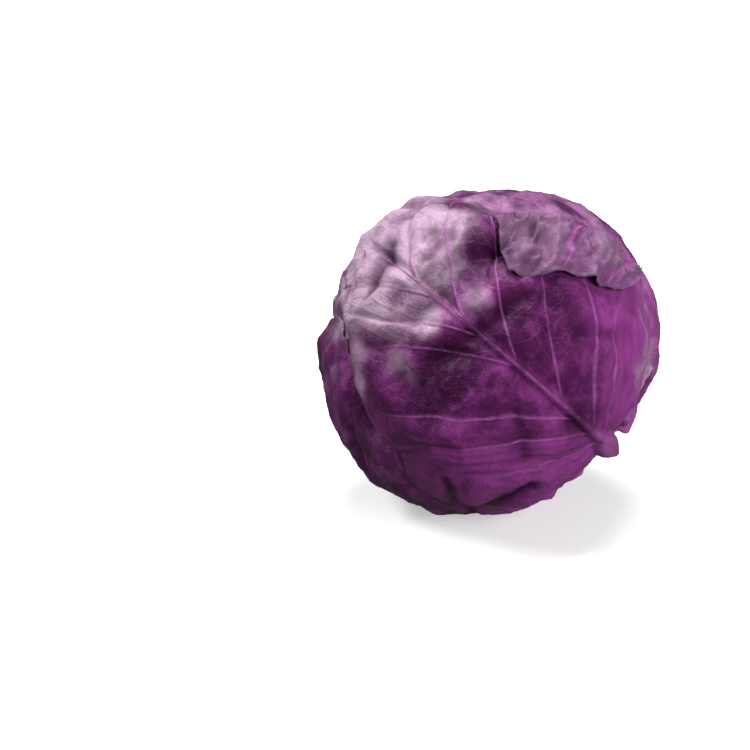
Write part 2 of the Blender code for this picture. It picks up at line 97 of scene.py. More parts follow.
# The head sinks this far into its own flat spot, which is then trimmed to the floor
TRIM_DEPTH = 0.0003
# Directions that point down less than this can't be reached by the floor
LEAST_DOWN = 0.2

# Leaves
BLADE = 0.0009
GAP = 0.0014
MIDRIB_BASE_HEIGHT = 0.0050
MIDRIB_TIP_HEIGHT = 0.0004
MIDRIB_BASE_WIDTH = 5.6
MIDRIB_TIP_WIDTH = 0.9
MIDRIB_ROUND_END = 4.0
# Powers: how fast a midrib sinks and narrows towards its tip, and how sharp it is across
MIDRIB_SINKING = 2.4
MIDRIB_NARROWING = 0.35
MIDRIB_SHARPNESS = 1.3
COVERED_MIDRIB_HEIGHT = 0.0014
COVERED_MIDRIB_SHARE = 0.7
COVERED_MIDRIB_SPREAD = 6.5
# The front leaf's midrib ends in a fleshy nub at the stalk
NUB_HEIGHT = 0.0042
NUB_WIDTH = 2.4
NUB_FULL = 2.0
NUB_LENGTH = 16.0
# How much less sharp the nub is across than the rest of the midrib
NUB_BLUNTNESS = 0.7
RUFFLE_PITCH = 21.0
# Waves start at this share of the half width, and on the basal margins at these places
RUFFLE_START = 0.72
BASE_RUFFLE_START = 10.0
BASE_RUFFLE_FULL = 24.0
BASE_RUFFLE_DEPTH = 6.0
RAGGED_SHARE = 0.04
# Side veins: width at the end and how much wider they start, how far they sway, and where
VEIN_END_WIDTH = 0.34
VEIN_WIDENING = 0.62
VEIN_SWAY = 4.6
VEIN_SWAY_FULL = 16.0
# Branches of the side veins, and the shares of the gap between veins where they end
BRANCH_PITCH = 7.0
BRANCH_WIDTH = 0.36
BRANCH_WANDER = 5.0
BRANCH_SLANT = 0.55
BRANCH_FULL = 0.4
BRANCH_GONE = 0.8
PILLOW_PITCH = 14.0
# Dents of a blade: pitch, stretch across the midrib, share
DENTS = ((16.0, 0.7, 0.36), (7.0, 0.8, 0.18), (3.0, 1.0, 0.07))
# Creases between its facets: pitch, share, sharpness
CREASES = ((12.0, 0.28, 1.5), (5.0, 0.14, 2))
# Dents this high leave the blade where it is
DENT_LEVEL = 0.25
# Pleats near the stalk, and how far from the leaf's base they are full and gone
PLEAT_PITCH = 4.2
PLEATS_FULL = 8.0
PLEATS_GONE = 40.0
LEAF_BASE = -79.0
FRONT_LEAF_BASE = -82.0
# Veins leave the midrib at a slant, and those of the base most of all
LEAN_IN = 5.0
LEAN_REACH = 5.0
BASE_LEAN_IN = 7.0
FRONT_BASE_LEAN_IN = 2.0
BASE_LEAN_LENGTH = 3.0
COVERED_RELIEF = 0.15
# A leaf counts as covered this far outside the outline of the leaf that lies over it
COVER_FULL = 1.0
COVER_GONE = 6.0
# A leaf still lifts what lies over it this far outside its own outline, in degrees
LAYER_FULL = 5.0
LAYER_GONE = 16.0

# Grid of a leaf: points across half a midrib, and the most of the half width that its foot and
# the crest of the fold take
RIB_POINTS = 10
WIDEST_FOOT = 0.4
WIDEST_CREST = 0.8
# Share of a folded side's columns before the crest, and how those past it crowd there
COLUMNS_TO_CREST = 0.62
CREST_CROWDING = 1.25
FRONT_FINENESS = 1.42
OUTLINE_ROWS = 34
OUTLINE_BASE_POINTS = 9

# Folded margin of the front leaf: the crest's outward direction on the leaf's map, its distance
FOLD_OUTWARD = (0.51, 0.86)
FOLD_DISTANCE = 43.5
FOLD_BULGE = 5.0
FOLD_MIDDLE = -27.0
FOLD_SPREAD = 15.0
FOLD_RADIUS = 0.0017
# Past this place along the crest the margin lies flat
FOLD_END = 2.0
FOLD_END_LENGTH = 2.0
UNFOLDED_DISTANCE = 60.0
# The crest is looked for as far out as this, by halving the way this often
FARTHEST_CREST = 110.0
CREST_HALVINGS = 30
# A folded margin narrower than this is cut off at the crest
LEAST_FLAP = 5.0
# The leaf is pressed flat under the folded margin, from this far inside the crest
UNDER_FLAP_START = -27.0
UNDER_FLAP_FULL = -20.0
# Pitches of the folded margin's crumples, creases and fine wrinkles, and of how far it hangs
CRUMPLE_PITCH = 4.2
FLAP_CREASE_PITCH = 3.6
FLAP_WRINKLE_PITCH = 2.2
FLAP_HANG_PITCH = 9.0
FLAP_BLOOM = 0.22
# A step outwards on the map, in degrees, that shows which way the crest faces
EDGE_STEP = 0.5
# Valleys and ridges of the front leaf: both ends on its map, half width in degrees, rise
FRONT_FOLDS = (
    (7, 16, 15, -20, 4.0, 0.0022),
    (-2, 17, 7, -15, 4.0, -0.0030),
    (33, 2, 41, -26, 4.0, 0.0024),
    (49, 4, 41, -15, 3.8, -0.0024),
    (20, 19, 12, 35, 4.2, -0.0070),
    (-19, -50, -34, -62, 2.4, -0.0030),
    (-34, -62, -50, -77, 2.8, -0.0040),
    (-40, -60, -49, -34, 4.0, -0.0040),
    (-30, -52, -38, -30, 4.0, 0.0016),
    (43, 41, 26, 35, 2.2, 0.0014),
    (30, 47, 24, 40, 2.0, 0.0012),
    (-22, 22, -36, 32, 3.0, -0.0014),
    (-8, -20, -20, -34, 3.2, 0.0014),
    (-24, -12, -36, -24, 3.0, -0.0016),
)
# They wander sideways by this much, and this power makes their sides steep
FOLDS_WANDER = 4.0
FOLDS_WANDER_PITCH = 9.0
FOLDS_STEEPNESS = 1.6

# Wax, and a painted sheen, lie thickest round these directions: degrees from them where each is
# full and gone, how far that varies, and share. The first patch, at the upper left, is a painted
# sheen of the light from there; the second is grey wax at the right.
WAX_AND_SHEEN_PATCHES = (
    ((-0.63, -0.34, 0.70), 18.0, 51.0, 26.0, 0.95),
    ((0.96, -0.27, 0.05), 8.0, 26.0, 9.0, 0.62),
)
WAX_PITCH = 8.0
# The front leaf's colour gets painted shade in its hollows, darkest at this depth, and painted
# light and shade that change this much per metre of a ridge's rise or a hollow's depth
DARKEST_HOLLOW = 0.0045
FOLD_PAINTED_LIGHT_AND_SHADE = 130.0

# Heart, with the midribs and veins of its own outer leaves round the stalk
HEART_CLEARANCE = 0.0008
HEART_RIB_AZIMUTHS = (-145, -72, 22, 93)
HEART_RIB_HEIGHT = 0.0024
HEART_RIB_WIDTH = 4.0
HEART_RIBS_FULL = 16.0
HEART_RIBS_GONE = 34.0
HEART_VEINS = 22.0
HEART_VEIN_HEIGHT = 0.0003

# Stalk, with heights along it from the middle of the head
STALK_RADIUS = 0.0115
STALK_CUT = 0.0662
STALK_TIP = 0.0060
# Radius and height from the middle of the cut end to the tip
STALK_PROFILE = (
    (0.0, STALK_CUT - 0.0006),
    (STALK_RADIUS * 0.35, STALK_CUT - 0.0004),
    (STALK_RADIUS * 0.7, STALK_CUT - 0.0001),
    (STALK_RADIUS - 0.0014, STALK_CUT),
    (STALK_RADIUS - 0.0004, STALK_CUT - 0.0005),
    (STALK_RADIUS, STALK_CUT - 0.0016),
    (STALK_RADIUS, STALK_CUT - 0.005),
    (STALK_RADIUS, 0.056),
    (0.0118, 0.042),
    (0.0085, 0.024),
    (0.0045, STALK_TIP + 0.003),
    (0.0, STALK_TIP),
)
CUT_ROUGHNESS = 0.0009
CUT_ROUGHNESS_PITCH = 0.0022

# Stage: places and sizes of the lights, and the floor just under the head
LIGHTS = {
    "left": ((-1.25, -0.2, 1.3), 0.6),
    "right": ((0.85, -0.95, 0.55), 0.8),
    "top": ((0.0, 0.35, 1.6), 1.0),
}
FLOOR_SIZE = 25.0
FLOOR_DROP = 0.0002
SENSOR_WIDTH = 36.0

MM_PER_DEGREE = 1000.0 * MEAN_RADIUS * math.pi / 180.0


def unit(vector):
    vector = np.asarray(vector, dtype=float)
    return vector / np.linalg.norm(vector, axis=-1, keepdims=True)


CROWN = -unit(STALK_DIRECTION)
FRONT = unit(np.asarray(FRONT_DIRECTION) - np.dot(FRONT_DIRECTION, CROWN) * CROWN)
SIDE = np.cross(CROWN, FRONT)
MIDDLE = np.array((0.0, 0.0, MIDDLE_HEIGHT))


def smoothstep(low, high, value):
    part = np.clip((value - low) / (high - low), 0.0, 1.0)
    return part * part * (3.0 - 2.0 * part)


def degrees_from(middle, directions):
    return np.degrees(np.arccos(np.clip(directions @ middle, -1.0, 1.0)))


def smooth_curve(value, places, heights):
    """A soft curve through a few points, flat beyond its ends."""
    places = np.asarray(places, dtype=float)
    heights = np.asarray(heights, dtype=float)
    slopes = np.gradient(heights, places)
    value = np.clip(value, places[0], places[-1])
    piece = np.clip(np.searchsorted(places, value) - 1, 0, len(places) - 2)
    span = places[piece + 1] - places[piece]
    part = (value - places[piece]) / span
    rise = part * part * (3.0 - 2.0 * part)
    start_bend = part * (1.0 - part) ** 2 * span * slopes[piece]
    end_bend = -part * part * (1.0 - part) * span * slopes[piece + 1]
    return heights[piece] * (1.0 - rise) + heights[piece + 1] * rise + start_bend + end_bend


def noise(x, y, pitch, seed):
    """Smooth seeded noise from 0 to 1 over a plane, one lump to each pitch."""
    size = 64
    lattice = np.random.default_rng(seed).random((size, size))
    x, y = np.broadcast_arrays(np.asarray(x) / pitch, np.asarray(y) / pitch)
    column, row = np.floor(x).astype(int), np.floor(y).astype(int)
    across, up = x - column, y - row
    across = across * across * (3.0 - 2.0 * across)
    up = up * up * (3.0 - 2.0 * up)
    near = lattice[row % size, column % size] * (1.0 - across)
    near = near + lattice[row % size, (column + 1) % size] * across
    far = lattice[(row + 1) % size, column % size] * (1.0 - across)
    far = far + lattice[(row + 1) % size, (column + 1) % size] * across
    return near * (1.0 - up) + far * up


def head_direction(azimuth, latitude):
    turn, lift = math.radians(azimuth), math.radians(latitude)
    level = math.cos(turn) * FRONT + math.sin(turn) * SIDE
    return math.cos(lift) * level + math.sin(lift) * CROWN


class Leaf:
    """Outline and veins of one leaf. Vein places and widths are in degrees on its map."""

    def __init__(self, name, azimuth, ends, veins, slopes, widths, phase, bloom, folded=False):
        self.name = name
        self.base, self.tip = ends
        self.veins = veins
        self.slopes = slopes
        self.widths = widths
        self.phase = phase
        self.bloom = bloom
        self.folded = folded
        self.base_lean = FRONT_BASE_LEAN_IN if folded else BASE_LEAN_IN
        self.seed = round(azimuth) % 360
        turn = math.radians(azimuth)
        self.centre = math.cos(turn) * FRONT + math.sin(turn) * SIDE
        self.across = -math.sin(turn) * FRONT + math.cos(turn) * SIDE
        self.ring = outline(self)


def row_places(leaf, side, number):
    """Where rows leave the midrib, closest together at the stalk."""
    veins = leaf.veins[side]
    stops = np.array((leaf.base, *veins, leaf.tip))
    marks = np.linspace(0.0, 1.0, len(stops))
    return np.interp(np.linspace(0.0, 1.0, number), marks, stops)


def half_width(leaf, side, place):
    places, widths = zip(*leaf.widths[side])
    return smooth_curve(place, places, widths)


def midrib_width(leaf, place):
    part = (place - leaf.base) / (leaf.tip - leaf.base)
    narrowed = (MIDRIB_TIP_WIDTH - MIDRIB_BASE_WIDTH) * part**MIDRIB_NARROWING
    return MIDRIB_BASE_WIDTH + narrowed + NUB_WIDTH * nub_share(leaf, place)


def nub_share(leaf, place):
    """1 in the nub at the end of the front leaf's midrib, 0 beyond it."""
    if not leaf.folded:
        return np.zeros_like(place)
    return 1.0 - smoothstep(NUB_FULL, NUB_LENGTH, place - leaf.base)


def midrib_height(leaf, place):
    part = np.clip((place - leaf.base) / (leaf.tip - leaf.base), 0.0, 1.0)
    from_end = np.clip((place - leaf.base) / MIDRIB_ROUND_END, 0.0, 1.0)
    rounded = np.sqrt(1.0 - (1.0 - from_end) ** 2)
    rise = (MIDRIB_BASE_HEIGHT - MIDRIB_TIP_HEIGHT) * (1.0 - part) ** MIDRIB_SINKING
    return MIDRIB_TIP_HEIGHT + (rise + NUB_HEIGHT * nub_share(leaf, place)) * rounded


def along(leaf, side, place, y):
    """The x that a row reaches at distance y from the midrib."""
    places, slopes = zip(*leaf.slopes[side])
    slope = smooth_curve(place, places, slopes)
    lean = LEAN_IN + leaf.base_lean * np.exp((leaf.base - place) / BASE_LEAN_LENGTH)
    return place + slope * y + lean * (1.0 - np.exp(-y / LEAN_REACH))


def beyond_fold(x, y):
    """Distance outside the crest of the fold."""
    out_x, out_y = FOLD_OUTWARD
    crest = out_y * x - out_x * y
    bulge = FOLD_BULGE * np.exp(-(((crest - FOLD_MIDDLE) / FOLD_SPREAD) ** 2))
    unfolded = UNFOLDED_DISTANCE * smoothstep(FOLD_END, FOLD_END + FOLD_END_LENGTH, crest)
    return out_x * x + out_y * y - FOLD_DISTANCE - bulge - unfolded


def fold_place(leaf, side, place):
    """The y at which a row crosses the crest of the fold."""
    low = np.zeros_like(place)
    high = np.full_like(place, FARTHEST_CREST)
    for _ in range(CREST_HALVINGS):
        middle = 0.5 * (low + high)
        outside = beyond_fold(along(leaf, side, place, middle), middle) > 0.0
        high = np.where(outside, middle, high)
        low = np.where(outside, low, middle)
    return 0.5 * (low + high)


def outline(leaf):
    """The leaf's outline on its map, as a closed ring. A folded margin ends at its crest."""
    ring = []
    for side, sign in ((0, 1.0), (1, -1.0)):
        places = row_places(leaf, side, OUTLINE_ROWS)
        widths = half_width(leaf, side, places)
        if leaf.folded and side == 0:
            widths = np.minimum(widths, fold_place(leaf, side, places))
        base_y = np.linspace(0.0, widths[0], OUTLINE_BASE_POINTS)
        base_x = along(leaf, side, np.full_like(base_y, leaf.base), base_y)
        x = np.concatenate((base_x, along(leaf, side, places[1:], widths[1:])))
        y = sign * np.concatenate((base_y, widths[1:]))
        points = np.stack((x, y), axis=-1)
        ring.append(points if side == 0 else points[::-1])
    return np.concatenate(ring)


def to_direction(leaf, x, y):
    reach, turn = np.radians(np.hypot(x, y)), np.arctan2(y, x)
    out_along = np.cos(turn)[..., None] * CROWN + np.sin(turn)[..., None] * leaf.across
    return np.cos(reach)[..., None] * leaf.centre + np.sin(reach)[..., None] * out_along


def to_map(leaf, directions):
    reach = degrees_from(leaf.centre, directions)
    turn = np.arctan2(directions @ leaf.across, directions @ CROWN)
    return np.stack((reach * np.cos(turn), reach * np.sin(turn)), axis=-1)


def distance_outside(leaf, directions):
    """Degrees from the leaf's outline, negative inside it."""
    points = to_map(leaf, directions)
    nearest = np.full(points.shape[:-1], 1e9)
    crossings = np.zeros(points.shape[:-1], dtype=int)
    for start, end in zip(leaf.ring, np.roll(leaf.ring, -1, axis=0)):
        run = end - start
        offset = points - start
        part = np.clip((offset @ run) / max(run @ run, 1e-9), 0.0, 1.0)
        gap = offset - part[..., None] * run
        nearest = np.minimum(nearest, (gap**2).sum(-1))
        if start[1] != end[1]:
            crossed = (start[1] > points[..., 1]) != (end[1] > points[..., 1])
            crossings += crossed & (offset[..., 0] < offset[..., 1] / run[1] * run[0])
    nearest = np.sqrt(nearest)
    return np.where(crossings % 2 == 1, -nearest, nearest)


def off_floor(directions):
    """Ribs are pressed flat towards the spot that the head rests on."""
    return 1.0 - smoothstep(RIBS_FULL_DOWN, RIBS_GONE_DOWN, -directions[..., 2])


def layer_height(leaf, directions, outside):
    """How far a leaf lifts whatever lies over it."""
    point = to_map(leaf, directions)
    rib = np.minimum(midrib_height(leaf, point[..., 0]), COVERED_MIDRIB_HEIGHT)
    bump = rib * np.exp(-((point[..., 1] / COVERED_MIDRIB_SPREAD) ** 2))
    bump = bump * off_floor(directions)
    return (BLADE + GAP + bump) * (1.0 - smoothstep(LAYER_FULL, LAYER_GONE, outside))


def layers(leaves, directions):
    """Distances outside each leaf, and how far each leaf lifts whatever lies over it."""
    outsides = [distance_outside(leaf, directions) for leaf in leaves]
    pairs = zip(leaves, outsides)
    return outsides, [layer_height(leaf, directions, outside) for leaf, outside in pairs]


def fold_rise(x, y):
    """Rises of the front leaf's valleys and ridges, each in metres, at places on its map."""
    wander = FOLDS_WANDER * (noise(x, y, FOLDS_WANDER_PITCH, 61) - 0.5)
    for start_x, start_y, end_x, end_y, spread, height in FRONT_FOLDS:
        run_x, run_y = end_x - start_x, end_y - start_y
        length = math.hypot(run_x, run_y)
        part = ((x - start_x) * run_x + (y - start_y) * run_y) / length**2
        away = ((y - start_y) * run_x - (x - start_x) * run_y) / length + wander
        beyond = np.maximum(np.abs(part - 0.5) - 0.5, 0.0) * length
        distance = np.hypot(away, beyond)
        yield height * np.exp(-(np.abs(distance / spread) ** FOLDS_STEEPNESS))


def hollows(front, directions):
    """The front leaf's valleys, which dent all that lies beneath it."""
    place = to_map(front, directions)
    return sum(np.minimum(rise, 0.0) for rise in fold_rise(place[..., 0], place[..., 1]))


def heart_radius(front, directions, stack):
    """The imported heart, pressed so that the leaf over it lies flat on the floor."""
    along_stalk = -(directions @ CROWN)
    radius = MEAN_RADIUS - STALK_END_TAPER * along_stalk - WRAPPING_DEPTH
    radius = radius - GIRTH_SWELL * (2.0 * along_stalk**2 - 1.0)
    for azimuth, latitude, spread, rise in SWELLINGS:
        angle = degrees_from(head_direction(azimuth, latitude), directions)
        radius = radius + rise * np.exp(-((angle / spread) ** 2))
    radius = radius + hollows(front, directions)
    down = np.maximum(-directions[..., 2], LEAST_DOWN)
    pressed = (MIDDLE_HEIGHT + TRIM_DEPTH) / down - stack
    blend = np.maximum(PRESS_ROUNDING - np.abs(radius - pressed), 0.0) / PRESS_ROUNDING
    return np.minimum(radius, pressed) - blend**2 * PRESS_ROUNDING / 4.0


def between_veins(leaf, side, place):
    """The number of the gap between two veins, its size and the share of it before a place."""
    stops = np.array((leaf.base, *leaf.veins[side], leaf.tip))
    number = np.clip(np.searchsorted(stops, place) - 1, 0, len(stops) - 2)
    gap = stops[number + 1] - stops[number]
    return number, gap, np.clip((place - stops[number]) / gap, 0.0, 1.0)


def vein_lines(leaf, side, place, y, width):
    """Strength of the side veins, and of the branches that leave them, from 0 to 1."""
    fade = np.clip(1.0 - y / np.maximum(width, 1.0), 0.0, 1.0)
    thick = VEIN_END_WIDTH + VEIN_WIDENING * fade
    nearest = np.min([np.abs(place - vein) for vein in leaf.veins[side]], axis=0)
    main = np.exp(-((nearest / thick) ** 2)) * (0.25 + 0.75 * fade**0.7)

    number, gap, part = between_veins(leaf, side, place)
    shift = BRANCH_WANDER * (noise(place, y, BRANCH_PITCH, leaf.seed + 2) - 0.5)
    branches = np.zeros_like(y)
    for share, turn in ((part, 0.0), (1.0 - part, 0.47)):
        phase = (y + shift - BRANCH_SLANT * gap * share) / BRANCH_PITCH + 0.37 * number + turn
        away = np.abs(phase - np.round(phase)) * BRANCH_PITCH
        line = np.exp(-((away / BRANCH_WIDTH) ** 2))
        line = line * (1.0 - smoothstep(BRANCH_FULL, BRANCH_GONE, share))
        branches = np.maximum(branches, line * smoothstep(1.5, 5.0, gap * share + 2.0))
    return main, branches * smoothstep(3.0, 9.0, y) * (1.0 - 0.5 * main)


def pillow(leaf, side, place, y, width):
    """The blade swells between neighbouring veins, unevenly, from 0 to 1."""
    _, _, part = between_veins(leaf, side, place)
    room = smoothstep(0.0, 0.2, y / width) * (1.0 - smoothstep(0.75, 1.0, y / width))
    uneven = 0.35 + 1.1 * noise(place, y, PILLOW_PITCH, leaf.seed + 3)
    return np.clip(4.0 * part * (1.0 - part), 0.0, 1.0) ** 0.6 * room * uneven


def creases(x, y, seed):
    """Dents of three sizes and creased facets of a limp blade, from 0 to 1."""
    dents = [
        noise(x, stretch * y, pitch, seed + number)
        for number, (pitch, stretch, _) in enumerate(DENTS)
    ]
    height = sum(share * dent for dent, (_, _, share) in zip(dents, DENTS))
    bent_x, bent_y = x + 4.0 * dents[1], 0.6 * y + 3.0 * dents[2]
    for number, (pitch, share, sharpness) in enumerate(CREASES, len(DENTS)):
        ridge = 1.0 - np.abs(2.0 * noise(bent_x, bent_y, pitch, seed + number) - 1.0)
        height = height + share * ridge**sharpness
    return height


def ruffle(leaf, place, y, width):
    """Waves that lift the free margin, also along the two basal margins, from 0 to 1."""
    at_side = smoothstep(RUFFLE_START, 1.0, y / width)
    at_base = 1.0 - smoothstep(0.0, BASE_RUFFLE_DEPTH, place - leaf.base)
    at_base = at_base * smoothstep(BASE_RUFFLE_START, BASE_RUFFLE_FULL, y)
    side_wave, base_wave = (
        0.5 + 0.5 * np.sin(2.0 * math.pi * way / RUFFLE_PITCH + leaf.phase) for way in (place, y)
    )
    fine = 0.7 + 0.6 * noise(place, y, 5.0, leaf.seed + 4)
    return np.maximum(at_side * side_wave, at_base * base_wave) * fine


def ragged_width(leaf, side, place):
    ragged = noise(place, side, 6.0, leaf.seed + 5)
    ragged = ragged + 0.35 * noise(place, side, 2.2, leaf.seed + 9)
    return half_width(leaf, side, place) * (1.0 + RAGGED_SHARE * (ragged - 0.67))


def row_points(leaf, side, places, columns):
    """For each row its points' y, its half width and the midrib's foot.

    Last comes each column's share of the way from the fold's crest to the free margin.
    """
    widths = ragged_width(leaf, side, places)
    on_fold = leaf.folded and side == 0
    if on_fold:
        crest = fold_place(leaf, side, places)
        too_narrow = np.abs(widths - crest - LEAST_FLAP / 2.0) < LEAST_FLAP / 2.0
        widths = np.where(too_narrow, crest, widths)
    foot = np.minimum(midrib_width(leaf, places), WIDEST_FOOT * widths)
    points = [foot[:, None] * np.linspace(0.0, 1.0, RIB_POINTS)[1:]]
    flap = np.zeros(RIB_POINTS + columns - 2)
    if on_fold:
        crest = np.minimum(crest, WIDEST_CREST * widths)
        near_steps = np.linspace(0.0, 1.0, int(columns * COLUMNS_TO_CREST))[1:]
        far_steps = np.linspace(0.0, 1.0, columns - len(near_steps))[1:]
        points.append(foot[:, None] + (crest - foot)[:, None] * near_steps)
        points.append(crest[:, None] + (widths - crest)[:, None] * far_steps**CREST_CROWDING)
        flap[-len(far_steps):] = far_steps
    else:
        steps = np.linspace(0.0, 1.0, columns)[1:]
        points.append(foot[:, None] + (widths - foot)[:, None] * steps)
    return np.concatenate(points, axis=1), widths, foot, flap


def blade_side(leaf, side, rows, columns, sizes):
    """Map places, relief and looks of the grid on one side of the midrib."""
    places = row_places(leaf, side, rows)
    y, widths, foot, flap = row_points(leaf, side, places, columns)
    place = np.broadcast_to(places[:, None], y.shape)
    width = np.broadcast_to(widths[:, None], y.shape)
    x = along(leaf, side, place, y)
    sway = noise(place, y, 13.0, leaf.seed + 1) + 0.4 * noise(place, y, 5.0, leaf.seed + 8) - 0.7
    bent = place + VEIN_SWAY * sway * smoothstep(0.0, VEIN_SWAY_FULL, y)
    main, branches = vein_lines(leaf, side, bent, y, width)
    share = y / foot[:, None]
    off_rib = smoothstep(0.4, 1.2, share)
    sign = 1.0 - 2.0 * side
    facet = creases(x, sign * y, leaf.seed + 20)
    near_base = 1.0 - smoothstep(PLEATS_FULL, PLEATS_GONE, place - leaf.base)
    dents = (facet - DENT_LEVEL) * (1.0 - 0.6 * near_base) * smoothstep(0.5, 3.0, share)
    dents = dents * (1.0 - 0.75 * smoothstep(0.75, 1.0, y / width))
    pleat_turn = 2.0 * math.pi * bent / PLEAT_PITCH + 5.0 * noise(place, y, 11.0, 33)
    pleat = (0.5 + 0.5 * np.sin(pleat_turn)) * near_base * smoothstep(1.2, 3.0, share)
    pleat = pleat * (1.0 - smoothstep(0.6, 0.95, y / width))
    sharpness = MIDRIB_SHARPNESS - NUB_BLUNTNESS * nub_share(leaf, place)
    rib_line = np.exp(-((share / (0.3 + 0.7 * near_base)) ** 2)) * (0.8 + 0.2 * near_base)
    shown_main = main * (1.0 + 1.6 * (flap > 0.0))
    streak = noise(bent * 2.6, y * 0.35, 3.0, leaf.seed + 10) * near_base
    return {
        "place": place,
        "x": x,
        "y": sign * y,
        "relief": (sizes.vein_height * main + sizes.branch_height * branches) * off_rib,
        "swell": sizes.pillow_height * pillow(leaf, side, bent, y, width)
        + sizes.ruffle_height * ruffle(leaf, place, y, width) + sizes.dent_height * dents
        + sizes.pleat_height * pleat,
        "rib": np.clip(1.0 - share**2, 0.0, 1.0) ** sharpness,
        "vein": np.maximum(np.maximum(shown_main, 0.4 * branches) * off_rib, rib_line),
        "margin": smoothstep(0.95, 1.0, y / width),
        "rim": smoothstep(0.78, 1.0, y / width),
        "streak": np.maximum(streak, 0.9 * pleat),
        "flap": np.broadcast_to(flap, y.shape),
        "near_base": near_base,
        "facet": facet,
    }


def whole_blade(leaf, rows, columns, sizes):
    """The grids of both sides as one, with a line along the midrib between them."""
    right, left = (blade_side(leaf, side, rows, columns, sizes) for side in (0, 1))
    grid = {}
    for key, values in right.items():
        spine = 0.5 * (values[:, :1] + left[key][:, :1])
        spine = 0.0 * spine if key == "y" else spine
        grid[key] = np.concatenate((left[key][:, ::-1], spine, values), axis=1)
    return grid


def crumples(along_crest, past_crest):
    """Folds, creases and fine wrinkles of the folded margin, mostly across its crest."""
    folds = noise(along_crest + 0.25 * past_crest, past_crest * 0.3, CRUMPLE_PITCH, 91) ** 2
    crease = noise(along_crest + 2.0 * folds, past_crest * 0.7, FLAP_CREASE_PITCH, 92)
    creased = folds + 0.45 * (1.0 - np.abs(2.0 * crease - 1.0)) ** 3
    return creased + 0.3 * noise(along_crest, past_crest, FLAP_WRINKLE_PITCH, 93)


def wax_and_sheen_share(leaf, directions, x, y):
    """How thick wax lies, with a painted sheen at the upper left, from 0 to 1."""
    wax_and_sheen_level = np.full_like(x, leaf.bloom)
    for middle, full, gone, varied, share in WAX_AND_SHEEN_PATCHES:
        unevenly = degrees_from(unit(middle), directions)
        unevenly = unevenly + varied * (noise(x, y, WAX_PITCH, 71) - 0.5)
        wax_and_sheen_level = np.maximum(wax_and_sheen_level, share * (1.0 - smoothstep(full, gone, unevenly)))
    return wax_and_sheen_level


